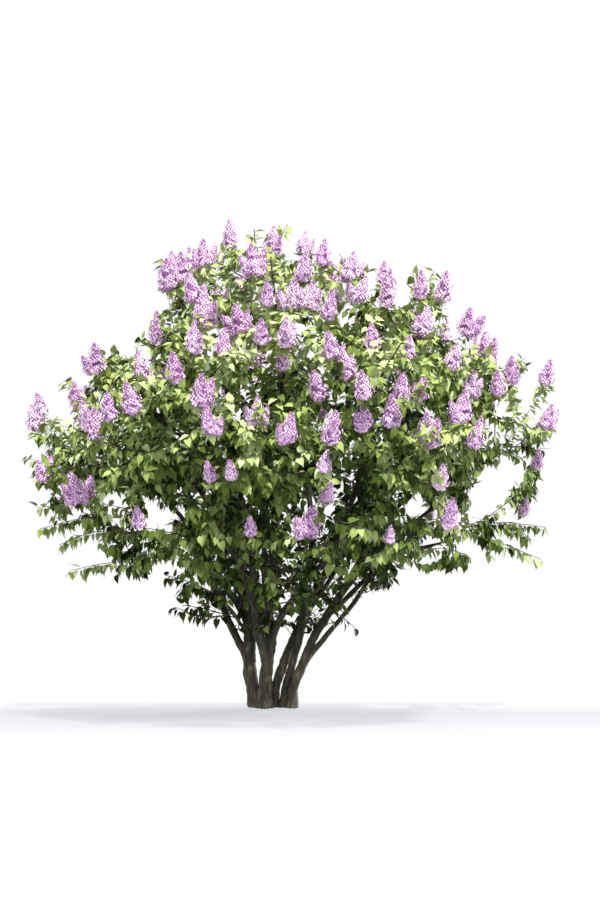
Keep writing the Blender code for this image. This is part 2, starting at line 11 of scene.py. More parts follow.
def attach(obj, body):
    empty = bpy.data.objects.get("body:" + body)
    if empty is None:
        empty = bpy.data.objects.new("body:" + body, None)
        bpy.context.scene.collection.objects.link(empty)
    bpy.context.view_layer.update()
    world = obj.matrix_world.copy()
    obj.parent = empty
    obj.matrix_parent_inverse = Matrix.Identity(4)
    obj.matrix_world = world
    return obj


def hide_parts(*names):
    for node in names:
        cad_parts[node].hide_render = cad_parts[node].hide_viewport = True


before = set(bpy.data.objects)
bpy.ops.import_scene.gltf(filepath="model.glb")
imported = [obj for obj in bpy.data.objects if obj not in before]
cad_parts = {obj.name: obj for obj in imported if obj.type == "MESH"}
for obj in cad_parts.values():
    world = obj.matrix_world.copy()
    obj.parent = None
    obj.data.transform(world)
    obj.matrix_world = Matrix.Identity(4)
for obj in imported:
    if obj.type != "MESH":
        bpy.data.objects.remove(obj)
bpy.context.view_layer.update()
bpy.ops.object.select_all(action="DESELECT")


# The room. A pale floor ends just behind the bush and everything else is white. A broad soft sun stands
# high in front and a little to the right, and a second light comes in low from behind on the right.
# The camera looks level at the middle of the bush from straight in front.
FLOOR_NEAR = -9.0
FLOOR_FAR = 0.30
FLOOR_HALF_WIDTH = 9.0
FLOOR_BELOW = 0.001
FLOOR_COLOUR = (0.056, 0.056, 0.058, 1)
FLOOR_ROUGHNESS = 0.9
FLOOR_GLOW = (0.935, 0.945, 1.0, 1)  # the white room's light on the floor, which softens its shadows
BAND_FROM, BAND_TO = -2.3, 0.30  # the part of the floor that the camera sees
# Painted light and shadow: the floor glows though it is no lamp. The glow is strongest near the camera,
# less at the far edge, and least a little in front of the foot, where it paints the bush's soft shadow.
BAND_GLOW = (  # how strongly it glows, from the near end of that part to the far one
    (0.0, 0.90), (0.209, 0.82), (0.29, 0.77), (0.46, 0.735), (0.552, 0.685),
    (0.645, 0.65), (0.763, 0.604), (0.843, 0.645), (0.927, 0.735), (1.0, 0.80),
)
SKY_STRENGTH = 1.0
EYE_AWAY = 14.0
EYE = Vector((0.225, -EYE_AWAY, 1.6125))
LENS = 89.6
FILM_WIDTH = 36
SEES_TO = 200

Light = namedtuple("Light", "side strength softness colour")
LIGHTS = (
    Light(Vector((0.16, -0.32, 0.93)), 7.2, math.radians(6), (1.0, 0.965, 0.90)),
    Light(Vector((0.80, 0.56, 0.20)), 4.0, math.radians(14), (1, 1, 1)),
)

bpy.ops.mesh.primitive_plane_add(size=2, location=(0, 0, 0))
floor = bpy.context.object
floor.name = "floor"
bpy.ops.object.mode_set(mode="EDIT")
bpy.ops.transform.resize(value=(FLOOR_HALF_WIDTH, (FLOOR_FAR - FLOOR_NEAR) / 2, 1))
bpy.ops.transform.translate(value=(0, (FLOOR_FAR + FLOOR_NEAR) / 2, -FLOOR_BELOW))
bpy.ops.object.mode_set(mode="OBJECT")


def finish_named(name, colour, roughness):
    """A new material, and the nodes, links and main shader that it is finished with."""
    made = bpy.data.materials.new(name)
    made.use_nodes = True
    nodes, links = made.node_tree.nodes, made.node_tree.links
    shader = nodes["Principled BSDF"]
    shader.inputs["Base Color"].default_value = colour
    shader.inputs["Roughness"].default_value = roughness
    return made, nodes, links, shader


def tone_ramp(nodes, stops):
    """A ramp node that gives a colour at each of some places from 0 to 1."""
    made = nodes.new("ShaderNodeValToRGB")
    ramp = made.color_ramp.elements
    ramp.remove(ramp[1])
    for number, (place, colour) in enumerate(stops):
        stop = ramp.new(place) if number else ramp[0]
        stop.position, stop.color = place, colour
    return made


def noise_node(nodes, scale, detail=2, roughness=0.5):
    made = nodes.new("ShaderNodeTexNoise")
    made.inputs["Scale"].default_value = scale
    made.inputs["Detail"].default_value = detail
    made.inputs["Roughness"].default_value = roughness
    return made


def raise_face(nodes, links, shader, height, strength, distance):
    """Gives a finish a fine relief that follows a height."""
    raised = nodes.new("ShaderNodeBump")
    raised.inputs["Strength"].default_value = strength
    raised.inputs["Distance"].default_value = distance
    links.new(height, raised.inputs["Height"])
    links.new(raised.outputs[0], shader.inputs["Normal"])


# A dark floor paint with a painted glow that stands in for the room's light and the bush's shadow on
# it.
floor_paint, nodes, links, shader = finish_named("floor_paint", FLOOR_COLOUR, FLOOR_ROUGHNESS)
where = nodes.new("ShaderNodeTexCoord")
split = nodes.new("ShaderNodeSeparateXYZ")
band = nodes.new("ShaderNodeMapRange")
band.inputs["From Min"].default_value = BAND_FROM
band.inputs["From Max"].default_value = BAND_TO
glow = tone_ramp(nodes, [(share, (strength, strength, strength, 1)) for share, strength in BAND_GLOW])
glow.color_ramp.interpolation = "EASE"
shader.inputs["Emission Color"].default_value = FLOOR_GLOW
links.new(where.outputs["Object"], split.inputs[0])
links.new(split.outputs["Y"], band.inputs["Value"])
links.new(band.outputs["Result"], glow.inputs["Fac"])
links.new(glow.outputs["Color"], shader.inputs["Emission Strength"])
floor.data.materials.append(floor_paint)

world = bpy.data.worlds.new("white_room")
world.use_nodes = True
world.node_tree.nodes["Background"].inputs["Color"].default_value = (1, 1, 1, 1)
world.node_tree.nodes["Background"].inputs["Strength"].default_value = SKY_STRENGTH
bpy.context.scene.world = world
bpy.context.scene.view_settings.view_transform = "Standard"

for light in LIGHTS:
    bpy.ops.object.light_add(type="SUN", rotation=light.side.to_track_quat("Z", "Y").to_euler())
    lamp = bpy.context.object.data
    lamp.energy, lamp.angle, lamp.color = light.strength, light.softness, light.colour

bpy.ops.object.camera_add(location=EYE, rotation=(math.pi / 2, 0, 0))
camera = bpy.context.object
camera.data.lens = LENS
camera.data.sensor_width = FILM_WIDTH
camera.data.clip_end = SEES_TO
bpy.context.scene.camera = camera


# The stems. Six old stems of lilac wood stand pressed together at the foot and lean apart, grey-brown
# under a thin bark that splits lengthwise into narrow strips. They flare where they enter the ground.
UP = Vector((0, 0, 1))
Stem = namedtuple("Stem", "foot knee bend tip foot_radius tip_radius")
STEMS = {
    "main": Stem(
        (0, 0), (0.03, -0.01, 0.40), (0.06, -0.12, 1.10), (0.12, -0.40, 2.08), 0.044, 0.015
    ),
    "left": Stem(
        (-0.04, 0.055), (-0.13, 0.06, 0.35), (-0.09, 0.07, 0.95), (-0.42, 0.0, 2.06), 0.047, 0.015
    ),
    "middle": Stem(
        (0.058, 0.056), (0.08, 0.07, 0.42), (0.50, 0.24, 0.78), (0.74, 0.36, 2.02), 0.031, 0.013
    ),
    "inner": Stem(
        (0.118, 0.036), (0.14, 0.04, 0.35), (0.50, -0.03, 0.95), (0.10, 0.08, 2.30), 0.027, 0.012
    ),
    "right": Stem(
        (0.174, 0.008), (0.13, 0.0, 0.42), (0.90, -0.05, 0.98), (0.90, -0.12, 2.0), 0.032, 0.013
    ),
    "rear": Stem(
        (0.026, 0.118), (0.02, 0.17, 0.45), (-0.10, 0.36, 0.90), (-0.26, 0.58, 2.04), 0.033, 0.013
    ),
}
ROOT_FLARE = 0.22
FLARE_HEIGHT = 0.07
BELOW_GROUND = 0.03
STEM_POINTS = 11
STEM_TAPER = 0.85
WANDER = 0.016
STEM_SIDES = 24
STEM_STEP = 0.012
SAME_PLACE = 0.00001
CAP_SHARE = 0.5  # the middle of a limb's closed ends stays flat
KNOB_SIZE = 0.09
KNOB_TURN = 0.8
KNOB_HEIGHT = 0.16  # of the limb's radius, as the wrinkles' and lobes'
WRINKLE_EVERY = 0.026
WRINKLE_TURN = 0.7
WRINKLE_HEIGHT = 0.10
STRIP_WIDTH = 0.017
STRIP_LENGTH = 0.13
STRIP_SHIFT = (0.37, 0.21)
FINE_STRIPS = 2.7
FINE_STRIP_HEIGHT = 0.5  # of the furrows' depth
FURROW_DEPTH = 0.0028
FURROW_SHARE = 0.28
FULL_FURROWS_FROM = 0.03  # thinner limbs have shallower furrows
FOOT_LOBES = 5
FOOT_LOBE_HEIGHT = 0.10
FOOT_LOBE_REACH = 0.16
BARK_DARK = (0.012, 0.010, 0.006, 1)
BARK_BROWN = (0.066, 0.058, 0.038, 1)
BARK_GREY = (0.360, 0.315, 0.225, 1)
BARK_TONES = ((0.34, BARK_DARK), (0.52, BARK_BROWN), (0.74, BARK_GREY))
BARK_ROUGHNESS = 0.82
BARK_STRETCH = (1, 1, 0.22)
BARK_STRIPS = (46, 6, 0.65)  # scale, detail and roughness of the noise, and so for the next two
BARK_STRIPS_SHARE = 0.66
BARK_PATCHES = (9, 3)
BARK_PATCHES_SHARE = 0.35
BARK_RAISED = (0.9, 0.004)
BARK_DARKENS_BETWEEN = (0.22, 0.70)  # the heights between which it turns darker
BARK_DARKER_ABOVE = 0.17

Limb = namedtuple("Limb", "points radii")


def curve_point(controls, share):
    """A point on the cubic curve that four control points steer."""
    rest = 1 - share
    weights = (rest**3, 3 * rest * rest * share, 3 * rest * share * share, share**3)
    return sum((Vector(c) * w for c, w in zip(controls, weights)), Vector())


def limb_points(controls, count, seed):
    """Points along a limb, wavering a little to the side between its two ends."""
    chance = random.Random(seed)
    points = []
    for i in range(count):
        share = i / (count - 1)
        waver = WANDER * math.sin(math.pi * share)
        aside = Vector((chance.uniform(-1, 1), chance.uniform(-1, 1), 0)) * waver
        points.append(curve_point(controls, share) + aside)
    return points


def stem_limb(name):
    stem = STEMS[name]
    foot = Vector((*stem.foot, 0))
    points = limb_points((foot, stem.knee, stem.bend, stem.tip), STEM_POINTS, f"{name} stem")
    radii = []
    for i, point in enumerate(points):
        taper = (1 - i / (STEM_POINTS - 1)) ** STEM_TAPER
        radius = stem.tip_radius + (stem.foot_radius - stem.tip_radius) * taper
        radii.append(radius * (1 + ROOT_FLARE * math.exp(-point.z / FLARE_HEIGHT)))
    above = foot.lerp(points[1], FLARE_HEIGHT / points[1].z)
    points.insert(1, above)
    radii.insert(1, stem.foot_radius * (1 + ROOT_FLARE / math.e))
    start = foot - (above - foot).normalized() * BELOW_GROUND
    return Limb([start, *points], [radii[0], *radii])


def smooth_run(points, radii, step):
    """Points close together on the smooth line through a limb's points, with their radii."""
    ends = [points[0] * 2 - points[1], *points, points[-1] * 2 - points[-2]]
    line, wide = [], []
    for i in range(len(points) - 1):
        a, b, c, d = ends[i : i + 4]
        pieces = max(1, round((c - b).length / step))
        for k in range(pieces):
            t = k / pieces
            bow = (c - a) * t + (a * 2 - b * 5 + c * 4 - d) * t * t + (b * 3 - a - c * 3 + d) * t**3
            line.append(b + bow / 2)
            wide.append(radii[i] + (radii[i + 1] - radii[i]) * t)
    return Limb(line + [points[-1]], wide + [radii[-1]])


def tubes(name, runs, sides):
    """One mesh of tapering tubes along runs of points, their ends closed."""
    data = bpy.data.curves.new(name, "CURVE")
    data.dimensions = "3D"
    data.bevel_depth = 1
    data.bevel_resolution = sides // 2 - 2
    data.use_fill_caps = True
    for run in runs:
        spline = data.splines.new("POLY")
        spline.points.add(len(run.points) - 1)
        spline.points.foreach_set("co", [c for p in run.points for c in (*p, 1)])
        spline.points.foreach_set("radius", run.radii)
    made = bpy.data.objects.new(name, data)
    bpy.context.scene.collection.objects.link(made)
    bpy.ops.object.select_all(action="DESELECT")
    bpy.context.view_layer.objects.active = made
    made.select_set(True)
    bpy.ops.object.convert(target="MESH")
    made = bpy.context.object
    bpy.ops.object.mode_set(mode="EDIT")
    bpy.ops.mesh.select_all(action="SELECT")
    bpy.ops.mesh.remove_doubles(threshold=SAME_PLACE)
    bpy.ops.mesh.normals_make_consistent(inside=False)
    bpy.ops.mesh.faces_shade_smooth()
    bpy.ops.object.mode_set(mode="OBJECT")
    return made


def bark_relief(piece, run, lobes):
    """Raises knobs and strips of bark on a limb and sinks the furrows between them."""
    line = np.array(run.points)
    travelled = np.concatenate([[0], np.cumsum(np.linalg.norm(np.diff(line, axis=0), axis=1))])
    for corner in piece.data.vertices:
        near = int(np.argmin(((line - corner.co) ** 2).sum(1)))
        middle, radius = run.points[near], run.radii[near]
        away = corner.co - middle
        if away.length < radius * CAP_SHARE:
            continue
        side = away.normalized()
        knob = noise.noise(middle / KNOB_SIZE + side * KNOB_TURN) * KNOB_HEIGHT * radius
        strip = side * radius / STRIP_WIDTH
        strip += Vector((*STRIP_SHIFT, travelled[near] / STRIP_LENGTH))
        split = min(1, abs(noise.noise(strip)) / FURROW_SHARE) - 1
        depth = FURROW_DEPTH * min(1, radius / FULL_FURROWS_FROM)
        lift = knob + split * depth + noise.noise(strip * FINE_STRIPS) * depth * FINE_STRIP_HEIGHT
        ring = Vector((side.x * WRINKLE_TURN, side.y * WRINKLE_TURN, travelled[near] / WRINKLE_EVERY))
        lift += noise.noise(ring) * WRINKLE_HEIGHT * radius
        if lobes:
            turn = math.atan2(side.y, side.x)
            fade = math.exp(-max(0, middle.z) / FOOT_LOBE_REACH)
            lift += FOOT_LOBE_HEIGHT * radius * fade * math.cos(FOOT_LOBES * turn + lobes)
        corner.co += side * lift


def bark_finish():
    """Dark furrows, brown strips and pale grey scales, stretched along the limbs."""
    made, nodes, links, shader = finish_named("lilac_bark", BARK_BROWN, BARK_ROUGHNESS)
    where = nodes.new("ShaderNodeTexCoord")
    stretch = nodes.new("ShaderNodeMapping")
    stretch.inputs["Scale"].default_value = BARK_STRETCH
    strips = noise_node(nodes, *BARK_STRIPS)
    patches = noise_node(nodes, *BARK_PATCHES)
    scaled = nodes.new("ShaderNodeMath")
    scaled.operation = "MULTIPLY"
    scaled.inputs[1].default_value = BARK_STRIPS_SHARE
    blend = nodes.new("ShaderNodeMath")
    blend.operation = "MULTIPLY_ADD"
    blend.inputs[1].default_value = BARK_PATCHES_SHARE
    height = nodes.new("ShaderNodeSeparateXYZ")
    # The bark's tones shift darker between two heights.
    by_height = nodes.new("ShaderNodeMapRange")
    by_height.inputs["From Min"].default_value, by_height.inputs["From Max"].default_value = BARK_DARKENS_BETWEEN
    by_height.inputs["To Max"].default_value = -BARK_DARKER_ABOVE
    darker = nodes.new("ShaderNodeMath")
    tones = tone_ramp(nodes, BARK_TONES)
    links.new(where.outputs["Object"], stretch.inputs["Vector"])
    links.new(stretch.outputs[0], strips.inputs["Vector"])
    links.new(where.outputs["Object"], patches.inputs["Vector"])
    links.new(strips.outputs[0], scaled.inputs[0])
    links.new(patches.outputs[0], blend.inputs[0])
    links.new(scaled.outputs[0], blend.inputs[2])
    links.new(where.outputs["Object"], height.inputs[0])
    links.new(height.outputs["Z"], by_height.inputs["Value"])
    links.new(blend.outputs[0], darker.inputs[0])
    links.new(by_height.outputs["Result"], darker.inputs[1])
    links.new(darker.outputs[0], tones.inputs["Fac"])
    links.new(tones.outputs["Color"], shader.inputs["Base Color"])
    raise_face(nodes, links, shader, strips.outputs[0], *BARK_RAISED)
    return made


def stand_for(piece, solids):
    """Puts a finished piece on the bush's one body, in the place of its solids."""
    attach(piece, "root")
    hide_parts(*solids)


bark = bark_finish()
stems = {name: stem_limb(name) for name in STEMS}
for number, (name, limb) in enumerate(stems.items()):
    run = smooth_run(limb.points, limb.radii, STEM_STEP)
    piece = tubes(f"bark_{name}", [run], STEM_SIDES)
    bark_relief(piece, run, lobes=1.0 + number)
    bpy.ops.object.mode_set(mode="EDIT")
    bpy.ops.mesh.select_all(action="SELECT")
    bpy.ops.mesh.bisect(plane_co=(0, 0, 0), plane_no=(0, 0, -1), use_fill=True, clear_outer=True)
    bpy.ops.object.mode_set(mode="OBJECT")
    piece.data.materials.append(bark)
    stand_for(piece, [f"stem_{name}"])


# The boughs. Each forks off a stem, swells into a collar there, and runs out to the middle of its
# own part of the crown. The crown is laid out in rings of such parts, the same as in the solids.
CROWN_MIDDLE = 0.16
CROWN_OUTLINE = (  # up, and how far the crown reaches to the left and right of its middle there
    (0.45, 0.45, 0.40),
    (0.70, 0.85, 0.65),
    (0.86, 1.36, 1.10),
    (0.98, 1.46, 1.58),
    (1.30, 1.62, 1.63),
    (1.60, 1.76, 1.75),
    (1.85, 1.71, 1.80),
    (2.03, 1.64, 1.74),
    (2.20, 1.38, 1.62),
    (2.50, 1.03, 1.27),
    (2.80, 0.90, 1.02),
    (2.95, 0.72, 0.50),
    (3.06, 0.46, 0.18),
)
CROWN_DEPTH = 0.93
CROWN_HEART = Vector((CROWN_MIDDLE, 0, 1.25))
Ring = namedtuple("Ring", "height out rise sweep upright around")
RINGS = {
    "crest": Ring(
        2.50, 0.60, 1.6, 0.16, 0.46,
        {"right": 352, "back_right": 48, "back_left": 122, "left": 190, "front": 262},
    ),
    "shoulder": Ring(
        2.10, 0.72, 0.9, 0.14, 0.46,
        {
            "right": 354, "back_right": 42, "back": 92, "back_left": 140,
            "left": 186, "front_left": 238, "front_right": 298,
        },
    ),
    "waist": Ring(
        1.60, 0.74, 0.4, 0.10, 0.44,
        {
            "right": 4, "back_right": 40, "back": 84, "back_left": 128,
            "left": 178, "front_left": 222, "front": 262, "front_right": 308,
        },
    ),
    "skirt": Ring(
        1.08, 0.72, 0.05, -0.08, 0.34,
        {
            "right": 350, "back_right": 60, "back_left": 118,
            "left": 176, "front_left": 236, "front_right": 298,
        },
    ),
    "inner": Ring(0.78, 0.42, 0.2, 0.02, 0.34, {"right": 334, "back": 86, "left": 206, "front": 264}),
}
SUMMIT = Vector((-0.06, 0.02, 2.72))
OPEN_ARMS = {
    "shoulder_right": (Vector((0.04, 0, -0.10)), 0.34),
    "waist_right": (Vector((0.04, 0, -0.14)), 0.24),
    "skirt_right": (Vector((0.02, 0, -0.04)), 0.20),
}
LEAVES_STEM_AT = {"skirt": 0.28, "waist": 0.56, "shoulder": 1.05, "inner": 0.48}
NEXT_BOUGH = 0.14
BOUGH_RADIUS = 0.027
BOUGH_SHARE = 0.66
BOUGH_TIP_RADIUS = 0.0085
BOUGH_POINTS = 6
BOUGH_TAPER = 0.9
BOUGH_LEAVING = (0.55, 0.45, 0.10)
BOUGH_BENDS = (0.36, 0.34)
CENTRAL = 0.3  # masses nearer to the crown's middle than this lean to no side
LEADER_INSIDE = 0.26
MASS_ACROSS = 0.62
MASSES_APART = 0.1  # masses farther apart than this don't press against each other
BOUGH_SIDES = 12
BOUGH_STEP = 0.016
COLLAR_SWELL = 0.55
COLLAR_REACH = 0.05

Mass = namedtuple("Mass", "name tier centre ring upright carrier near")


def crown_reach(height):
    """Reach of the crown to the left and to the right at a height, or None above and below it."""
    for (low, left, right), (high, next_left, next_right) in zip(CROWN_OUTLINE, CROWN_OUTLINE[1:]):
        if low <= height <= high:
            share = (height - low) / (high - low)
            return left + (next_left - left) * share, right + (next_right - right) * share
    return None


def in_crown(place, room=0.0):
    """True if a place lies inside the crown's outline with that much room to spare."""
    reach = crown_reach(place.z)
    if reach is None or place.z + room > CROWN_OUTLINE[-1][0]:
        return False
    side = reach[1] if place.x > CROWN_MIDDLE else reach[0]
    depth = CROWN_DEPTH * sum(reach) / 2
    across = (place.x - CROWN_MIDDLE) / (side - room)
    deep = place.y / (depth - room)
    return across * across + deep * deep <= 1


def direction_of(place):
    return math.atan2(place[1], place[0] - CROWN_MIDDLE)


def nearest_stem(centre):
    """The outer stem that leans most nearly towards a mass."""

    def turned(name):
        apart = abs(direction_of(STEMS[name].tip) - direction_of(centre))
        return min(apart, 2 * math.pi - apart)

    return min((name for name in STEMS if name != "inner"), key=turned)


def lay_out_masses():
    """All the parts of the crown, the summit first, each with those that it may press against."""
    crest = RINGS["crest"]
    masses = [Mass("summit", "crest", SUMMIT, crest, crest.upright, "inner", [])]
    for name, ring in RINGS.items():
        left, right = crown_reach(ring.height)
        for side, degrees in ring.around.items():
            turn = math.radians(degrees)
            across = ring.out * (right if math.cos(turn) > 0 else left) * math.cos(turn)
            deep = ring.out * CROWN_DEPTH * (left + right) / 2 * math.sin(turn)
            shift, upright = OPEN_ARMS.get(f"{name}_{side}", (Vector(), ring.upright))
            centre = Vector((CROWN_MIDDLE + across, deep, ring.height)) + shift
            carrier = nearest_stem(centre)
            masses.append(Mass(f"{name}_{side}", name, centre, ring, upright, carrier, []))
    for mass in masses:
        for other in masses:
            apart = (other.centre - mass.centre).length
            if other is not mass and apart < 2 * MASS_ACROSS + MASSES_APART:
                towards = (mass.centre - other.centre).normalized()
                mass.near.append(((mass.centre + other.centre) / 2, towards))
    return masses


def at_height(limb, height):
    """Place, heading and radius of a limb where it first reaches a height."""
    for i, (low, high) in enumerate(zip(limb.points, limb.points[1:])):
        if low.z <= height <= high.z:
            share = (height - low.z) / (high.z - low.z)
            radius = limb.radii[i] + (limb.radii[i + 1] - limb.radii[i]) * share
            return low.lerp(high, share), (high - low).normalized(), radius
    raise ValueError("the limb doesn't reach that height")


def outward(mass):
    """Level direction from the crown's middle to the mass."""
    away = Vector((mass.centre.x - CROWN_MIDDLE, mass.centre.y, 0))
    return away.normalized() if away.length > CENTRAL else Vector()


def arrival(mass):
    """Direction in which the mass's leader runs through its middle."""
    return (outward(mass) + UP * mass.ring.rise).normalized()


def bough_limb(mass, stem, height):
    start, heading, stem_radius = at_height(stem, height)
    tip = mass.centre - arrival(mass) * LEADER_INSIDE
    length = (tip - start).length
    along, out, up = BOUGH_LEAVING
    leaving = (heading * along + outward(mass) * out + UP * up).normalized()
    first, last = BOUGH_BENDS
    controls = (start, start + leaving * length * first, tip - arrival(mass) * length * last, tip)
    points = limb_points(controls, BOUGH_POINTS, f"{mass.name} bough")
    thick = min(BOUGH_RADIUS, stem_radius * BOUGH_SHARE)
    radii = []
    for i in range(BOUGH_POINTS):
        taper = (1 - i / (BOUGH_POINTS - 1)) ** BOUGH_TAPER
        radii.append(BOUGH_TIP_RADIUS + (thick - BOUGH_TIP_RADIUS) * taper)
    return Limb(points, radii)


masses = lay_out_masses()
carriers, taken = {}, {}
for mass in masses:
    if mass.tier in ("crest", "inner"):
        carriers[mass.name] = stems[mass.carrier]
        continue
    order = taken.get((mass.tier, mass.carrier), 0)
    taken[mass.tier, mass.carrier] = order + 1
    height = LEAVES_STEM_AT[mass.tier] + NEXT_BOUGH * order
    carriers[mass.name] = bough_limb(mass, stems[mass.carrier], height)


def ring_of(tier):
    return [mass for mass in masses if mass.tier == tier]


def join_into(kept, others):
    """Joins other pieces into one."""
    bpy.ops.object.select_all(action="DESELECT")
    for piece in (kept, *others):
        piece.select_set(True)
    bpy.context.view_layer.objects.active = kept
    bpy.ops.object.join()


for tier in ("shoulder", "waist", "skirt"):
    pieces = []
    for mass in ring_of(tier):
        limb = carriers[mass.name]
        run = smooth_run(limb.points, limb.radii, BOUGH_STEP)
        wide = []
        for place, radius in zip(run.points, run.radii):
            from_fork = (place - run.points[0]).length
            wide.append(radius * (1 + COLLAR_SWELL * math.exp(-from_fork / COLLAR_REACH)))
        run = Limb(run.points, wide)
        bough = tubes(f"bark_bough_{mass.name}", [run], BOUGH_SIDES)
        bark_relief(bough, run, lobes=0)
        pieces.append(bough)
    boughs = pieces[0]
    join_into(boughs, pieces[1:])
    boughs.name = boughs.data.name = f"bark_boughs_{tier}"
    boughs.data.materials.append(bark)
    stand_for(boughs, [f"bough_{mass.name}" for mass in ring_of(tier)])


# Where the flower heads stand. Lilac flowers at the ends of last year's shoots, in pairs and threes of
# upright heads. The places are across and up on the plane of the foot, as the bush is seen from in
# front, with the number of heads in each. The other sides bear them in the same way.
HEADS_SEEN = (
    (-0.22, 2.96, 1), (0.06, 2.92, 2), (-0.38, 2.84, 3), (0.38, 2.84, 1), (-0.08, 2.81, 3),
    (-0.52, 2.76, 2), (0.26, 2.76, 1), (0.56, 2.76, 2), (-0.61, 2.72, 2), (1.14, 2.64, 2),
    (0.64, 2.61, 2), (0.76, 2.60, 1), (0.19, 2.59, 2), (0.02, 2.58, 1), (0.31, 2.58, 3),
    (0.43, 2.50, 1), (-0.36, 2.49, 3), (-0.18, 2.43, 3), (1.02, 2.42, 2), (1.29, 2.41, 2),
    (-0.68, 2.35, 2), (0.14, 2.35, 3), (-0.02, 2.34, 1), (0.67, 2.31, 1), (-0.44, 2.31, 2),
    (-0.24, 2.28, 1), (0.40, 2.26, 1), (1.38, 2.26, 3), (-1.06, 2.19, 2), (1.21, 2.19, 1),
    (0.12, 2.17, 1), (0.48, 2.16, 3), (-0.79, 2.13, 2), (-0.57, 2.13, 1), (1.55, 2.11, 2),
    (1.79, 2.09, 1), (0.31, 2.01, 1), (0.61, 2.01, 1), (0.87, 2.00, 1), (-0.39, 1.99, 2),
    (1.01, 1.99, 2), (-0.86, 1.94, 1), (-1.19, 1.93, 1), (1.26, 1.89, 2), (-1.42, 1.88, 1),
    (-0.98, 1.88, 1), (0.80, 1.86, 1), (-0.04, 1.85, 3), (-1.13, 1.82, 2), (1.80, 1.81, 2),
    (0.62, 1.81, 2), (-0.36, 1.79, 2), (-1.06, 1.78, 1), (0.45, 1.76, 2), (0.17, 1.75, 2),
    (1.02, 1.75, 3), (1.34, 1.70, 1), (1.72, 1.53, 1), (-1.41, 1.46, 1), (-0.22, 1.46, 1),
    (-0.36, 1.45, 1), (1.12, 1.43, 1), (-1.21, 1.38, 3), (0.42, 1.32, 1), (1.64, 1.24, 1),
    (1.18, 1.22, 3), (-0.80, 1.17, 1), (0.31, 1.17, 3), (-0.09, 1.11, 1), (0.79, 1.05, 1),
)
SKY_GAPS = (  # across, up, half length, half width and turn of the openings where the sky shows
    (1.46, 1.41, 0.243, 0.113, 48), (1.63, 1.98, 0.241, 0.075, 47), (-1.29, 1.83, 0.105, 0.084, 111),
    (1.30, 1.03, 0.103, 0.069, 165), (1.22, 2.47, 0.194, 0.043, 84), (1.57, 1.05, 0.147, 0.041, 151),
    (0.17, 0.39, 0.139, 0.037, 62), (0.51, 2.60, 0.106, 0.043, 83), (0.86, 2.59, 0.070, 0.055, 111),
    (1.08, 1.01, 0.077, 0.043, 136), (-1.06, 1.06, 0.081, 0.039, 10), (1.55, 1.24, 0.075, 0.036, 17),
    (-1.08, 0.94, 0.069, 0.037, 21), (1.55, 1.64, 0.082, 0.028, 47), (1.71, 1.16, 0.097, 0.028, 118),
    (1.78, 1.89, 0.064, 0.029, 34), (1.51, 2.20, 0.080, 0.031, 62), (-0.73, 1.10, 0.066, 0.036, 152),
    (-1.15, 2.02, 0.050, 0.041, 63), (-0.15, 2.91, 0.058, 0.030, 123), (1.70, 1.82, 0.050, 0.030, 111),
    (-1.46, 1.58, 0.051, 0.030, 45), (-0.82, 2.25, 0.054, 0.027, 63), (-0.96, 1.26, 0.072, 0.019, 171),
    (-0.28, 2.95, 0.041, 0.033, 68), (0.20, 2.80, 0.044, 0.030, 11), (0.13, 2.88, 0.051, 0.029, 171),
    (-0.96, 0.84, 0.051, 0.024, 73), (-0.68, 0.83, 0.051, 0.024, 117), (-1.37, 1.32, 0.052, 0.020, 46),
    (0.87, 0.83, 0.037, 0.027, 57), (-0.52, 1.22, 0.043, 0.025, 105), (-0.20, 0.56, 0.035, 0.028, 63),
    (0.71, 2.53, 0.039, 0.027, 56), (0.52, 2.83, 0.037, 0.025, 142), (-0.94, 1.30, 0.051, 0.018, 175),
    (1.30, 2.33, 0.036, 0.024, 147), (-0.74, 2.22, 0.040, 0.023, 98), (-0.15, 2.70, 0.035, 0.023, 150),
    (0.69, 2.68, 0.037, 0.021, 123), (-0.51, 2.85, 0.035, 0.023, 71), (1.78, 1.59, 0.037, 0.021, 64),
    (-0.61, 2.52, 0.032, 0.024, 113), (-0.29, 2.35, 0.050, 0.018, 10), (0.53, 0.71, 0.038, 0.019, 51),
    (-0.51, 1.03, 0.034, 0.022, 91), (0.45, 2.82, 0.028, 0.026, 110), (-0.66, 2.57, 0.037, 0.020, 123),
    (0.47, 0.57, 0.046, 0.017, 162), (-0.70, 0.95, 0.033, 0.019, 98), (-0.71, 2.66, 0.031, 0.021, 166),
)
GAP_ROOM = 0.010
CROWN_SEEN = (  # up, and how far the crown is seen to reach to the left and right of the foot there
    (0.43, -0.24, 0.58), (0.53, -0.44, 0.58), (0.63, -0.61, 0.52), (0.73, -0.63, 0.65),
    (0.80, -1.23, 1.10), (0.93, -1.19, 1.73), (1.03, -1.12, 1.73), (1.13, -1.40, 1.77),
    (1.33, -1.41, 1.70), (1.53, -1.54, 1.76), (1.63, -1.46, 1.84), (1.83, -1.49, 1.86),
    (2.03, -1.45, 1.84), (2.13, -1.16, 1.82), (2.23, -1.10, 1.58), (2.33, -0.80, 1.47),
    (2.53, -0.70, 1.30), (2.73, -0.73, 1.18), (2.80, -0.72, 0.66), (2.93, -0.50, 0.36),
    (3.03, -0.25, 0.10),
)
HEAD_LENGTH = 0.175
HEAD_RADIUS = 0.051
HEAD_SIZES = (0.86, 1.14)
LOW_HEAD_SIZES = ((1.1, 0.66), (1.8, 1.0))  # by height, as single heads and pairs low down are smaller
HEAD_ROOM = 0.02
HEAD_DEEP = 0.22  # how far behind the crown's face a head may stand
HEADS_APART = 0.20
AIM_BELOW_TIP = 0.45  # of a head's length
LOOK_BEFORE, LOOK_BEHIND, LOOK_STEP = 1.9, 0.9, 0.03
OTHER_SIDES = ((180, 1), (90, -1), (270, 1))  # turned by so many degrees, mirrored where it is -1
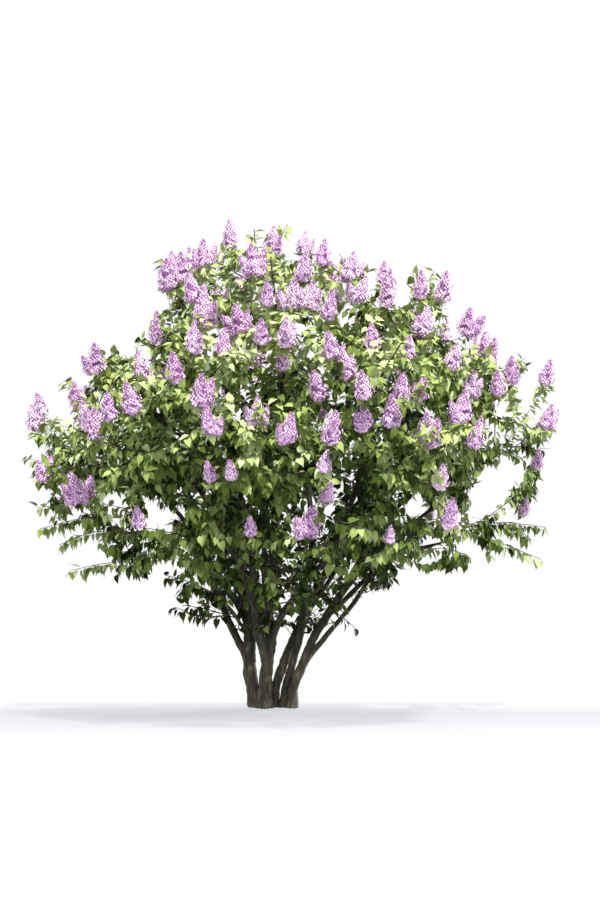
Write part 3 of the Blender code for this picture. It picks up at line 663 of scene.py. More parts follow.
OTHER_HEADS = ((0.9, 0.0), (1.2, 0.10), (1.6, 0.35), (1.9, 0.9), (2.1, 1.0))  # share kept, by height
TOP_TRIES = 60
TOP_REACH = 0.8
TOP_AIM = 2.5
TOP_FROM = 2.35
TOP_CONES = (1, 2, 2, 3)

Head = namedtuple("Head", "tip mass cones size")


def in_space(mass, place, room):
    """True if a place lies in the mass's own space: the part of the crown nearest to its middle."""
    offset = place - mass.centre
    wide = math.hypot(offset.x, offset.y) / MASS_ACROSS
    if wide * wide + (offset.z / mass.upright) ** 2 > 1 or not in_crown(place, room):
        return False
    return all((place - middle).dot(towards) >= room for middle, towards in mass.near)


def open_sky(place):
    """True if a place is seen from in front against one of the openings, or outside the crown."""
    nearer = EYE.y / (EYE.y - place.y)
    across = EYE.x + (place.x - EYE.x) * nearer
    up = EYE.z + (place.z - EYE.z) * nearer
    for low, high in zip(CROWN_SEEN, CROWN_SEEN[1:]):
        if low[0] <= up <= high[0]:
            share = (up - low[0]) / (high[0] - low[0])
            left = low[1] + (high[1] - low[1]) * share
            right = low[2] + (high[2] - low[2]) * share
            if not left <= across <= right:
                return True
    for x, z, long, short, degrees in SKY_GAPS:
        if abs(across - x) > long + GAP_ROOM or abs(up - z) > long + GAP_ROOM:
            continue
        turn = math.radians(degrees)
        along = (across - x) * math.cos(turn) + (up - z) * math.sin(turn)
        aside = (up - z) * math.cos(turn) - (across - x) * math.sin(turn)
        if (along / (long + GAP_ROOM)) ** 2 + (aside / (short + GAP_ROOM)) ** 2 < 1:
            return True
    return False


def fits_among(head, heads):
    """True if a head of another side is clear of the openings, as seen from in front, and of others."""
    if any(open_sky(head.tip - UP * HEAD_LENGTH * share) for share in (0.0, 0.5, 1.0)):
        return False
    return all((head.tip - other.tip).length > HEADS_APART for other in heads)


def mass_at(place):
    return next((mass for mass in masses if in_space(mass, place, HEAD_ROOM)), None)


def first_seen(eye, aim, cones, chance):
    """The head on a line of sight that stands nearest to the one who looks."""
    way = (aim - eye).normalized()
    reach = (aim - eye).length
    deeper = chance.uniform(0, HEAD_DEEP)
    size = chance.uniform(*HEAD_SIZES)
    if cones < 3:
        size *= float(np.interp(aim.z, *zip(*LOW_HEAD_SIZES)))
    found = None
    travelled = reach - LOOK_BEFORE
    while travelled < reach + LOOK_BEHIND:
        tip = eye + way * travelled + UP * HEAD_LENGTH * AIM_BELOW_TIP
        mass = mass_at(tip)
        if mass:
            found = Head(tip, mass, cones, size)
            deeper -= LOOK_STEP
            if deeper < 0:
                break
        elif found:
            break
        travelled += LOOK_STEP
    return found


chance = random.Random("flower heads")
heads = []
for across, up, cones in HEADS_SEEN:
    found = first_seen(EYE, Vector((across, 0, up)), cones, chance)
    if found:
        heads.append(found)
for degrees, flip in OTHER_SIDES:
    turn = Matrix.Rotation(math.radians(degrees), 3, "Z")
    middle = Vector((CROWN_MIDDLE, 0, 0))
    for across, up, cones in HEADS_SEEN:
        aim = turn @ Vector((flip * (across - CROWN_MIDDLE), 0, up)) + middle
        eye = turn @ Vector((flip * (across - CROWN_MIDDLE), -EYE_AWAY, up)) + middle
        found = first_seen(eye, aim, cones, chance)
        borne = chance.random() <= np.interp(up, *zip(*OTHER_HEADS))
        if found and borne and fits_among(found, heads):
            heads.append(found)
for _ in range(TOP_TRIES):
    across, deep = chance.uniform(-TOP_REACH, TOP_REACH), chance.uniform(-TOP_REACH, TOP_REACH)
    aim = Vector((CROWN_MIDDLE + across, deep, TOP_AIM))
    found = first_seen(aim + UP * EYE_AWAY, aim, chance.choice(TOP_CONES), chance)
    if found and found.tip.z > TOP_FROM and fits_among(found, heads):
        heads.append(found)


# The twigs. Each part of the crown grows from one leader by the rule of the solids: shoots end evenly
# spread round the edge of its space, and each springs from the nearest joint of those before it.
# Here finer shoots and the flowering ones follow, down to the thickness of a real lilac twig.
LEADER, MAIN, FLOWERING, FINE, SPRIG, ARM = range(-1, 5)  # the kinds of shoot
EDGE_ROOM = 0.012
EDGE_STEPS = 9
TIP_TRIES = 14
FINE_TRIES = 7
OUTWARD_PULL = 0.45
FINE_PULL = 0.05
FINE_SHARES = (0.30, 1.0)
SHOOTS = {"crest": 7, "shoulder": 7, "waist": 7, "skirt": 6, "inner": 6}
FINE_SHOOTS = {"crest": 46, "shoulder": 60, "waist": 58, "skirt": 40, "inner": 13}
FINE_TOP_FROM = 2.25
FINE_TOP_ROOM = 0.13  # leafy shoots stay this far below the flower heads on top
FINE_TOP_SHARE = 0.75
SPRIGS = {"crest": 38, "shoulder": 28, "waist": 25, "skirt": 7, "inner": 0}
SPRIG_SHARES = (0.32, 0.98)
SPRIG_ONWARD, SPRIG_RISE, SPRIG_SAG = 0.5, 0.5, 0.1
SPRIG_LENGTHS = (0.10, 0.24)
SPRIG_POINTS = 4
SPRIGS_ABOVE = 0.58
LEADER_RUN = 0.07
LEADER_POINTS = 14
LEADER_KEPT = 4  # a leader ends where it comes out into the open, but not before this point
SIDE_LEADER_RISE = 0.7
SIDE_LEADER_SHARE = 0.35
WAY_COST = 0.30
FINE_WAY_COST = 0.06
TURN_COST = 0.22
FINE_TURN_COST = 0.10
SHORTEST_SPAN = 0.03
TOO_NEAR_COST = 9.0
ONWARD_BOW = 0.15
AIM_RISE = 0.1
TWIG_RADIUS = 0.0058
FINE_TWIG_RADIUS = 0.0036
TWIG_TIP_RADIUS = 0.0019
LEADER_TIP_RADIUS = 0.0040
FORK_SHARE = 0.8
TWIG_STEP = 0.05
TWIG_FEWEST_POINTS = 4
TWIG_WAVER = 0.05
THICK_SIDES, THIN_SIDES = 6, 4
LEAF_COVER = 0.055
HEAD_LEAN = 0.30
HEAD_RISE = 0.95
HEAD_ABOVE = 0.9  # the share of a head that stands above the end of its shoot
TWIG_DARK = (0.035, 0.026, 0.018, 1)
TWIG_PALE = (0.130, 0.105, 0.066, 1)
TWIG_TONES = ((0.35, TWIG_DARK), (0.70, TWIG_PALE))
TWIG_ROUGHNESS = 0.7
TWIG_MOTTLE = (30, 3)

ARMS = {  # long thin arms seen against the sky, each as places across and up from in front
    "shoulder_right": (((1.46, 1.60), (1.63, 1.82), (1.775, 2.02)),),
    "waist_right": (
        ((1.21, 1.44), (1.38, 1.535), (1.556, 1.63), (1.80, 1.76)),
        ((1.27, 1.15), (1.53, 1.29), (1.69, 1.49)),
    ),
    "skirt_right": (
        ((1.27, 1.13), (1.50, 1.16), (1.76, 1.13)), ((1.30, 1.10), (1.53, 1.01), (1.73, 0.93)),
        ((0.96, 0.975), (1.12, 1.0), (1.28, 0.95)), ((1.34, 1.15), (1.50, 1.13), (1.66, 1.07)),
    ),
    "shoulder_left": (((-1.0, 1.56), (-1.175, 1.66), (-1.375, 1.80)),),
    "waist_left": (
        ((-0.95, 1.40), (-1.22, 1.50), (-1.48, 1.56)), ((-0.80, 1.25), (-1.10, 1.29), (-1.42, 1.25)),
    ),
    "skirt_left": (
        ((-0.78, 1.18), (-1.10, 1.19), (-1.40, 1.12)), ((-0.78, 1.10), (-1.05, 1.10), (-1.28, 1.02)),
        ((-0.69, 0.92), (-0.95, 0.91), (-1.21, 0.86)),
    ),
    "inner_left": (((-0.30, 0.57), (-0.42, 0.58), (-0.56, 0.63)),),
    "inner_right": (((0.42, 0.62), (0.50, 0.56), (0.57, 0.50)),),
}
SKY_SHARE = 0.3  # the part of a main or fine shoot that may cross an opening
ARM_DEPTH = -0.10
ARM_SPRAY_EVERY = 0.055
ARM_SPRAY_LENGTHS = (0.07, 0.15)

Shoot = namedtuple("Shoot", "mass points radii aim head kind")
Joint = namedtuple("Joint", "place heading way radius")


def edge_place(mass, way):
    """The place where a line from the mass's middle meets the edge of its space."""
    near, far = 0.0, MASS_ACROSS
    for _ in range(EDGE_STEPS):
        middle = (near + far) / 2
        if in_space(mass, mass.centre + way * middle, EDGE_ROOM):
            near = middle
        else:
            far = middle
    return mass.centre + way * near


def any_way(chance):
    rise = chance.uniform(-1, 1)
    turn = chance.uniform(0, 2 * math.pi)
    flat = math.sqrt(1 - rise * rise)
    return Vector((flat * math.cos(turn), flat * math.sin(turn), rise))


def shoot_tips(mass, count):
    """Where a mass's main shoots end, the leader's first. Each tip after it is that one of a few
    seeded tries that lies farthest from the tips before it and farthest out of the crown."""
    chance = random.Random(f"{mass.name} tips")
    tips = [edge_place(mass, arrival(mass))]
    while len(tips) < count:
        tries = [edge_place(mass, any_way(chance)) for _ in range(TIP_TRIES)]

        def worth(place):
            apart = min((place - tip).length for tip in tips)
            return apart + OUTWARD_PULL * (place - CROWN_HEART).length

        tips.append(max(tries, key=worth))
    return tips


def fine_tips(mass, tips, count):
    """Where the finer shoots end, spread through the outer part of the mass's space."""
    chance = random.Random(f"{mass.name} fine tips")
    taken, made = list(tips), []
    for _ in range(count):
        tries = []
        for _ in range(FINE_TRIES):
            edge = edge_place(mass, any_way(chance))
            place = mass.centre.lerp(edge, chance.uniform(*FINE_SHARES))
            if place.z > FINE_TOP_FROM and not in_crown(place, FINE_TOP_ROOM):
                place = mass.centre.lerp(place, FINE_TOP_SHARE)
            if not open_sky(place):
                tries.append(place)

        def worth(place):
            apart = min((place - tip).length for tip in taken)
            return apart + FINE_PULL * (place - CROWN_HEART).length

        if tries:
            made.append(max(tries, key=worth))
            taken.append(made[-1])
    return made


def arm_places(seen):
    """The places of an arm that is seen from in front."""
    nearer = (ARM_DEPTH - EYE.y) / -EYE.y
    return [EYE.lerp(Vector((across, 0, up)), nearer) for across, up in seen]


def spray_tips(arm, chance):
    """Where the short side shoots of an arm end."""
    tips = []
    for low, high in zip(arm, arm[1:]):
        steps = max(1, round((high - low).length / ARM_SPRAY_EVERY))
        for i in range(steps):
            at = low.lerp(high, (i + chance.random()) / steps)
            tips.append(at + any_way(chance) * chance.uniform(*ARM_SPRAY_LENGTHS))
    return [tip for tip in tips if not open_sky(tip)]


def bent_line(start, bend, tip, count):
    """Points on the arc from start to tip that a bend point steers."""
    line = []
    for i in range(count):
        share = i / (count - 1)
        line.append(start.lerp(bend, share).lerp(bend.lerp(tip, share), share))
    return line


def planned_shoots(mass, flowering, chance):
    """What grows in a mass: each shoot's tip, the head or arm that leads it there, and its kind."""
    main = shoot_tips(mass, SHOOTS[mass.tier])
    arms = [arm_places(seen) for seen in ARMS.get(mass.name, ())]
    fine = fine_tips(mass, main + [head.tip for head in flowering], FINE_SHOOTS[mass.tier])
    plan = [(main[0], None, LEADER)]
    plan += [(tip, None, MAIN) for tip in main[1:] if not open_sky(tip)]
    plan += [(arm[-1], arm, ARM) for arm in arms]
    plan += [(tip, None, ARM) for arm in arms for tip in spray_tips(arm, chance)]
    plan += [(head.tip, head, FLOWERING) for head in flowering]
    return plan + [(tip, None, FINE) for tip in fine]


def springs_from(joints, place, kind):
    """The joint that a shoot towards a place springs from: a near one that needs no sharp turn."""
    way_cost, turn_cost = (WAY_COST, TURN_COST) if kind == MAIN else (FINE_WAY_COST, FINE_TURN_COST)

    def cost(joint):
        span = place - joint.place
        if span.length < SHORTEST_SPAN:
            return TOO_NEAR_COST
        turn = 1 - span.normalized().dot(joint.heading)
        return span.length + way_cost * joint.way + turn_cost * turn

    return min(joints, key=cost)


def shoot_line(mass, start, heading, end, arm, chance):
    """Points along a shoot, wavering a little, bowed to its end or led through an arm's places."""
    span = end - start
    if arm:
        way = [start, *arm]
        line = smooth_run(way, [1] * len(way), TWIG_STEP).points
    else:
        bow = heading * ONWARD_BOW - UP * mass.ring.sweep
        count = max(TWIG_FEWEST_POINTS, round(span.length / TWIG_STEP) + 1)
        line = bent_line(start, start + span / 2 + bow * span.length, end, count)
    steps = len(line) - 1
    for i in range(1, steps):
        line[i] = line[i] + any_way(chance) * TWIG_WAVER * span.length / steps
    return line


def tapered(thick, thin, count):
    return [thick + (thin - thick) * i / (count - 1) for i in range(count)]


def grow(mass, start, heading, radius, flowering):
    """All the shoots of a mass, each from a joint of those before it."""
    chance = random.Random(f"{mass.name} shoots")
    shoots, joints = [], []
    for tip, led, kind in planned_shoots(mass, flowering, chance):
        head = led if kind == FLOWERING else None
        arm = led if kind == ARM else None
        aim = (tip - mass.centre).normalized()
        if head:
            aim = (aim * HEAD_LEAN + UP * HEAD_RISE).normalized()
            end = tip - aim * HEAD_LENGTH * head.size * HEAD_ABOVE
        else:
            aim = (aim + UP * AIM_RISE).normalized()
            end = tip - aim * LEAF_COVER
        if kind == LEADER:
            origin = Joint(start, heading, 0.0, radius)
            run_end = start + heading * LEADER_RUN
            line = [start, *bent_line(run_end, mass.centre, end, LEADER_POINTS)]
            clear = next((i for i in range(LEADER_KEPT, len(line)) if open_sky(line[i])), len(line))
            thin = LEADER_TIP_RADIUS if clear == len(line) else TWIG_TIP_RADIUS
            line = line[:clear]
        else:
            origin = springs_from(joints, arm[0] if arm else end, kind)
            line = shoot_line(mass, origin.place, origin.heading, end, arm, chance)
            thick = TWIG_RADIUS if arm or kind == MAIN else FINE_TWIG_RADIUS
            radius = min(thick, origin.radius * FORK_SHARE)
            thin = min(TWIG_TIP_RADIUS, radius)
        if kind in (MAIN, FINE) and sum(map(open_sky, line)) > len(line) * SKY_SHARE:
            continue
        radii = tapered(radius, thin, len(line))
        shoots.append(Shoot(mass, line, radii, aim, head, kind))
        way = origin.way
        for i in range(1, len(line) - 1):
            way += (line[i] - line[i - 1]).length
            joints.append(Joint(line[i], (line[i + 1] - line[i]).normalized(), way, radii[i]))
    return shoots


def grow_sprigs(mass, limb):
    """Short leafy side shoots on the outer two thirds of the limb that bears a mass."""
    chance = random.Random(f"{mass.name} sprigs")
    sprigs = []
    for _ in range(SPRIGS[mass.tier]):
        at = chance.uniform(*SPRIG_SHARES) * (len(limb.points) - 1)
        low = int(at)
        start = limb.points[low].lerp(limb.points[low + 1], at - low)
        heading = (limb.points[low + 1] - limb.points[low]).normalized()
        side = any_way(chance).cross(heading).normalized()
        aim = (side + heading * SPRIG_ONWARD + UP * SPRIG_RISE).normalized()
        length = chance.uniform(*SPRIG_LENGTHS)
        tip = start + aim * length
        if open_sky(tip) or tip.z < SPRIGS_ABOVE:
            continue
        bend = start + aim * length / 2 - UP * SPRIG_SAG * length
        line = bent_line(start, bend, tip, SPRIG_POINTS)
        radii = tapered(FINE_TWIG_RADIUS * FORK_SHARE, TWIG_TIP_RADIUS, SPRIG_POINTS)
        sprigs.append(Shoot(mass, line, radii, aim, None, SPRIG))
    return sprigs


def twig_finish():
    """Smooth young bark, brown with paler patches."""
    made, nodes, links, shader = finish_named("twig_bark", TWIG_DARK, TWIG_ROUGHNESS)
    where = nodes.new("ShaderNodeTexCoord")
    mottle = noise_node(nodes, *TWIG_MOTTLE)
    tones = tone_ramp(nodes, TWIG_TONES)
    links.new(where.outputs["Object"], mottle.inputs["Vector"])
    links.new(mottle.outputs[0], tones.inputs["Fac"])
    links.new(tones.outputs["Color"], shader.inputs["Base Color"])
    return made


def foliage_of(tier):
    return [f"foliage_{mass.name}" for mass in ring_of(tier)]


twig_bark = twig_finish()
shoots = {}
for mass in masses:
    carrier = carriers[mass.name]
    if mass.tier == "inner":
        start, _, radius = at_height(carrier, LEAVES_STEM_AT["inner"])
        heading = (outward(mass) + UP * SIDE_LEADER_RISE).normalized()
        radius *= SIDE_LEADER_SHARE
    else:
        heading = (carrier.points[-1] - carrier.points[-2]).normalized()
        start, radius = carrier.points[-1], carrier.radii[-1]
    flowering = [head for head in heads if head.mass is mass]
    shoots[mass.name] = grow(mass, start, heading, radius, flowering) + grow_sprigs(mass, carrier)

TIERS = ("crest", "shoulder", "waist", "skirt", "inner")
for tier in TIERS:
    of_tier = [shoot for mass in ring_of(tier) for shoot in shoots[mass.name]]
    thick = [Limb(shoot.points, shoot.radii) for shoot in of_tier if shoot.kind in (LEADER, MAIN)]
    thin = [Limb(shoot.points, shoot.radii) for shoot in of_tier if shoot.kind not in (LEADER, MAIN)]
    leaders = tubes(f"leaders_{tier}", thick, THICK_SIDES)
    twigs = tubes(f"twigs_{tier}", thin, THIN_SIDES)
    join_into(twigs, [leaders])
    twigs.data.materials.append(twig_bark)
    stand_for(twigs, foliage_of(tier))


# The leaves. Lilac leaves are thin and heart-shaped with a drawn-out tip, folded a little along the
# midrib, and hang in pairs from short stalks. One is modelled from a grid, in three shapes, and set
# along every twig. Each spray has one of a few greens by its place: paler as painted light high and
# far out in the crown, darker as painted shade inside and low down, and the palest with a painted
# sheen.
LEAF_LENGTH = 0.056
LEAF_ROWS = (  # along the midrib, along the edge, half the width, all as shares of the length
    (0.04, -0.06, 0.21),
    (0.22, 0.17, 0.36),
    (0.52, 0.48, 0.30),
    (0.78, 0.77, 0.11),
    (1.00, 1.00, 0.0),
)
STALK_LENGTH = 0.26
STALK_HALF_WIDTH, STALK_UNDER = 0.02, 0.05
SAME_CORNER = 0.0001
LEAF_SHAPES = ((0.30, 0.16), (0.10, 0.30), (0.48, 0.06))  # fold and droop
LEAF_PAIR_EVERY = 0.027
LEAF_BARE = {  # the share of a shoot, from its start
    LEADER: 0.50, MAIN: 0.34, FLOWERING: 0.20, FINE: 0.12, SPRIG: 0.15, ARM: 0.12,
}
LEAF_BARE_AT_LEAST = 0.012
PAST_TIP = 0.001
OPEN_SHOOT = 0.35  # a flowering shoot with more than this against the sky has leaves there too
# Leaves on the arms get paler greens, as painted light on arms that reach out into the open.
ARM_PAINTED_LIGHTER = 0.6
ARM_SPACING = 1.15
LEAF_SPACING = (0.75, 1.25)
LEAF_OUT = (0.6, 1.0)
LEAF_ONWARD = (0.25, 0.8)
LEAF_SCATTER = 0.25
LEAF_HANG = {
    "crest": (0.1, 0.9), "shoulder": (0.2, 1.0), "waist": (0.4, 1.3),
    "skirt": (0.7, 1.9), "inner": (0.5, 1.4),
}
LEAF_TILT = (0.1, 0.9)
LEAF_ROLL = 0.35
LEAF_SIZES = (0.80, 1.25)
LEAF_ROOM = ((0.6, 0.02), (1.1, -0.03), (2.2, -0.03), (2.5, 0.03))  # to the crown's edge, by height
THIN_HALF_WIDTH = 0.48  # this near to the crown's middle line some leaves are left out
LEAVES_KEPT = (  # the share that is kept there, by height
    (0.45, 0.32), (0.75, 0.42), (1.05, 0.82), (1.35, 1.0), (2.35, 1.0), (2.60, 0.55), (2.78, 1.0),
)
# How a spray's green is set by its place, as painted light and shade: by its distance from the crown's
# heart and by its height.
LIGHTEST_AWAY = 1.6
LIT_TONE_FROM, LIT_TONE_OUT, LIT_TONE_UP = 0.5, 2.6, 1.0
LIT_TONE_LEVEL = 1.35
SPRAY_TONE_SCATTER, LEAF_TONE_SCATTER = 1.0, 0.8
# From deep green, used as painted shade, to pale yellow-green, used as painted light. The palest are
# whitened as a painted sheen.
LEAF_GREENS = (
    (0.014, 0.024, 0.004, 1),
    (0.037, 0.061, 0.010, 1),
    (0.090, 0.134, 0.026, 1),
    (0.180, 0.240, 0.061, 1),
    (0.288, 0.356, 0.122, 1),
    (0.405, 0.485, 0.235, 1),
)
LEAF_ROUGHNESS = 0.45
LEAF_GLOSS = 0.10
LEAF_PUCKER = 90
LEAF_RAISED = (0.35, 0.002)

Template = namedtuple("Template", "corners triangles tones")


def template_of(piece):
    """The corners and triangles of a small modelled piece, which is then put away."""
    piece.data.calc_loop_triangles()
    corners = np.array([v.co for v in piece.data.vertices])
    triangles = np.array([t.vertices for t in piece.data.loop_triangles])
    bpy.data.objects.remove(piece)
    return Template(corners, triangles, np.zeros(len(triangles), dtype=int))


def model_leaf(fold, droop):
    """One leaf of unit length on its stalk, pointing along Y with its face up."""
    rows = len(LEAF_ROWS)
    bpy.ops.mesh.primitive_grid_add(x_subdivisions=2, y_subdivisions=rows - 1, size=2)
    leaf = bpy.context.object
    bpy.ops.object.mode_set(mode="EDIT")
    shape = bmesh.from_edit_mesh(leaf.data)
    row_of = {corner: round((corner.co.y + 1) / 2 * (rows - 1)) for corner in shape.verts}
    column_of = {corner: round(corner.co.x) for corner in shape.verts}
    for corner in shape.verts:
        rib, edge, half = LEAF_ROWS[row_of[corner]]
        side = column_of[corner]
        along = edge if side else rib
        sag = -droop * max(0.0, along) ** 2
        corner.co = (side * half, along, sag + (fold * half if side else 0))
    bmesh.ops.remove_doubles(shape, verts=shape.verts, dist=SAME_CORNER)
    half, under = STALK_HALF_WIDTH, STALK_UNDER
    stalk = [shape.verts.new((x, y, 0)) for x, y in ((-half, under), (0, -STALK_LENGTH), (half, under))]
    shape.faces.new(stalk)
    bmesh.update_edit_mesh(leaf.data)
    bpy.ops.object.mode_set(mode="OBJECT")
    return template_of(leaf)


def joined(name, batches, finishes):
    """One mesh of many copies. A batch is a template, its copies' matrices and each copy's tone."""
    corners, triangles, picks, first = [], [], [], 0
    for template, places, tones in batches:
        if not len(places):
            continue
        places = np.asarray(places)
        moved = np.einsum("nij,kj->nki", places[:, :3, :3], template.corners) + places[:, None, :3, 3]
        count = len(template.corners)
        starts = first + count * np.arange(len(places))
        corners.append(moved.reshape(-1, 3))
        triangles.append((template.triangles[None] + starts[:, None, None]).reshape(-1, 3))
        tone = np.asarray(tones)[:, None] + template.tones[None]
        picks.append(np.clip(tone, 0, len(finishes) - 1).reshape(-1))
        first += count * len(places)
    corners, triangles = np.concatenate(corners), np.concatenate(triangles)
    mesh = bpy.data.meshes.new(name)
    mesh.vertices.add(len(corners))
    mesh.vertices.foreach_set("co", corners.astype(np.float32).ravel())
    mesh.loops.add(3 * len(triangles))
    mesh.loops.foreach_set("vertex_index", triangles.astype(np.int32).ravel())
    mesh.polygons.add(len(triangles))
    mesh.polygons.foreach_set("loop_start", np.arange(0, 3 * len(triangles), 3, dtype=np.int32))
    for finish in finishes:
        mesh.materials.append(finish)
    mesh.polygons.foreach_set("material_index", np.concatenate(picks).astype(np.int32))
    mesh.update(calc_edges=True)
    mesh.shade_smooth()
    piece = bpy.data.objects.new(name, mesh)
    bpy.context.scene.collection.objects.link(piece)
    return piece


def grained_finish(name, colour, roughness, grain_scale, relief):
    """A finish with a fine grain that raises its face, and its main shader."""
    made, nodes, links, shader = finish_named(name, colour, roughness)
    where = nodes.new("ShaderNodeTexCoord")
    grain = noise_node(nodes, grain_scale)
    links.new(where.outputs["Object"], grain.inputs["Vector"])
    raise_face(nodes, links, shader, grain.outputs[0], *relief)
    return made, shader


def place_matrix(place, along, above, size):
    """Matrix rows that put a piece at a place, its length along one way and its face another."""
    across = along.cross(above).normalized()
    face = across.cross(along)
    rows = [[across[i] * size, along[i] * size, face[i] * size, place[i]] for i in range(3)]
    return rows + [[0, 0, 0, 1]]


def spray_tone(place, chance):
    """Painted light and shade: sprays high and far out in the crown get paler greens, those inside it
    and low down darker ones.
    """
    depth = min(1, (place - CROWN_HEART).length / LIGHTEST_AWAY)
    lit_tone = LIT_TONE_FROM + LIT_TONE_OUT * depth + LIT_TONE_UP * (place.z - LIT_TONE_LEVEL)
    return chance.gauss(lit_tone, SPRAY_TONE_SCATTER)


def in_place(root, tip):
    """True if a leaf stays within the crown and clear of its openings."""
    room = float(np.interp(root.z, *zip(*LEAF_ROOM)))
    return not open_sky(root.lerp(tip, 0.5)) and in_crown(tip, room)


def leaf_kept(root, chance):
    """Some leaves are left out between the stems, where it is too dark, and between the top's heads."""
    share = float(np.interp(root.z, *zip(*LEAVES_KEPT)))
    return abs(root.x - CROWN_MIDDLE) > THIN_HALF_WIDTH or chance.random() < share


def leafy_in_the_open(shoot):
    """True for an arm, and for a flowering shoot that would be a bare wire against the sky."""
    across = sum(map(open_sky, shoot.points))
    return shoot.kind == ARM or shoot.kind == FLOWERING and across > len(shoot.points) * OPEN_SHOOT


def at_distance(shoot, spans, reach):
    """The place at a distance along a shoot, and the shoot's heading there."""
    i, left = 0, reach
    while i < len(spans) - 1 and left > spans[i]:
        left -= spans[i]
        i += 1
    low, high = shoot.points[i], shoot.points[i + 1]
    return low.lerp(high, min(1, left / spans[i])), (high - low).normalized()


def hang_leaf(here, heading, side, tier, chance):
    """The root, direction, face and size of a leaf that hangs on one side of a shoot."""
    away = side * chance.uniform(*LEAF_OUT) + heading * chance.uniform(*LEAF_ONWARD)
    away = away + any_way(chance) * LEAF_SCATTER
    along = (away.normalized() - UP * chance.uniform(*LEAF_HANG[tier])).normalized()
    out = Vector((here.x - CROWN_MIDDLE, here.y, 0)).normalized()
    above = UP + out * chance.uniform(*LEAF_TILT) + any_way(chance) * LEAF_ROLL
    size = LEAF_LENGTH * chance.uniform(*LEAF_SIZES)
    return here + along * size * STALK_LENGTH, along, above, size


def set_leaves(shoot, places, tones, chance):
    """Sets pairs of leaves along a shoot, each pair a quarter turn from the one before."""
    spans = [(b - a).length for a, b in zip(shoot.points, shoot.points[1:])]
    length = sum(spans)
    tone = spray_tone(shoot.points[-1], chance) + (ARM_PAINTED_LIGHTER if shoot.kind == ARM else 0)
    spacing = ARM_SPACING if shoot.kind == ARM else 1
    in_the_open = leafy_in_the_open(shoot)
    reach = max(length * LEAF_BARE[shoot.kind], LEAF_BARE_AT_LEAST)
    turned = chance.random() < 0.5
    while reach <= length + PAST_TIP:
        here, heading = at_distance(shoot, spans, reach)
        level = heading.cross(UP).normalized()
        side = level.cross(heading) if turned else level
        for sign in (1, -1):
            root, along, above, size = hang_leaf(here, heading, side * sign, shoot.mass.tier, chance)
            shape = chance.randrange(len(LEAF_SHAPES))
            leaf_tone = round(tone + chance.gauss(0, LEAF_TONE_SCATTER))
            if (in_the_open or in_place(root, root + along * size)) and leaf_kept(root, chance):
                places[shape].append(place_matrix(root, along, above, size))
                tones[shape].append(max(0, min(len(LEAF_GREENS) - 1, leaf_tone)))
        turned = not turned
        reach += LEAF_PAIR_EVERY * chance.uniform(*LEAF_SPACING) * spacing


greens = []
for number, colour in enumerate(LEAF_GREENS):
    name = f"leaf_green_{number}"
    green, shader = grained_finish(name, colour, LEAF_ROUGHNESS, LEAF_PUCKER, LEAF_RAISED)
    shader.inputs["Specular IOR Level"].default_value = LEAF_GLOSS
    greens.append(green)

leaf_templates = [model_leaf(fold, droop) for fold, droop in LEAF_SHAPES]
for tier in TIERS:
    places = [[] for _ in LEAF_SHAPES]
    tones = [[] for _ in LEAF_SHAPES]
    for mass in ring_of(tier):
        chance = random.Random(f"{mass.name} leaves")
        for shoot in shoots[mass.name]:
            set_leaves(shoot, places, tones, chance)
    leaves = joined(f"leaves_{tier}", zip(leaf_templates, places, tones), greens)
    stand_for(leaves, foliage_of(tier))


# The blossom. A flower head is a dense upright cone of small clusters on side stalks, each a bunch of
# four-petalled florets, pale lilac where they are open and purple in the buds near the tip. One floret
# and one bud are modelled, five heads are made of them, and one to three stand on a flowering shoot.
FLORET_ACROSS = 0.0172
FLORET_CORNERS = 8  # four petals' ends and the notches between them
PETAL_NOTCH = 0.64
THROAT_DEPTH, PETAL_DROOP = 0.15, 0.04  # of the floret's width
BUD_LENGTH = 0.011
BUD_SLIMNESS = 0.55
FLORETS = 215
FLORETS_UP_TO = 0.98  # of the head's length
FLORET_DEPTHS = (-0.08, 0.06)
FLORET_RISE = 0.35
FLORET_SCATTER = 0.26
FLORET_SIZES = (0.85, 1.15)
FLORET_LOW_SIZE, FLORET_SHRINK = 1.08, 0.30
BUDS_ABOVE = 0.90
BUDS_BETWEEN = 0.06
LUMP_SIZE = 0.028
LUMP_HEIGHT = 0.52
LUMP_SHADE = 2.1
FLORET_SHADES = (-1, 0, 0, 1)
PATTERN_SHIFT = 9
HEAD_PROFILE = ((0.0, 0.42), (0.10, 0.84), (0.26, 1.0), (0.50, 0.80), (0.76, 0.50), (1.0, 0.12))
PROFILE_STEPS = 60
HEART_SHARE = 0.78
HEART_SIDES, HEART_RINGS = 11, 9
HEART_LUMP_HEIGHT, HEART_LUMPS = 0.16, 4
HEART_POINT = 0.01
HEART_FOOT, HEART_LENGTH = 0.02, 0.95
GOLDEN_TURN = math.pi * (3 - math.sqrt(5))
HEAD_TEMPLATES = 5
CLUSTER_TONES = (3, 3, 4)
SIDE_HEAD_TILT = (0.28, 0.60)
SIDE_HEAD_SIZE = (0.72, 0.95)
SIDE_HEAD_AWAY = 0.022
SIDE_HEAD_SUNK = 0.012
SIDE_HEAD_TURN = 0.6
# From deep purple, which also paints the shade inside a head, to pale lilac. The paler tones are partly
# painted light on the lumps.
LILACS = (
    (0.222, 0.078, 0.245, 1),
    (0.400, 0.185, 0.425, 1),
    (0.585, 0.328, 0.610, 1),
    (0.715, 0.460, 0.735, 1),
    (0.785, 0.562, 0.800, 1),
    (0.845, 0.660, 0.858, 1),
)
PETAL_ROUGHNESS = 0.55
PETAL_SHEEN = 0.25
PETAL_GRAIN = 260
PETAL_RAISED = (0.2, 0.001)


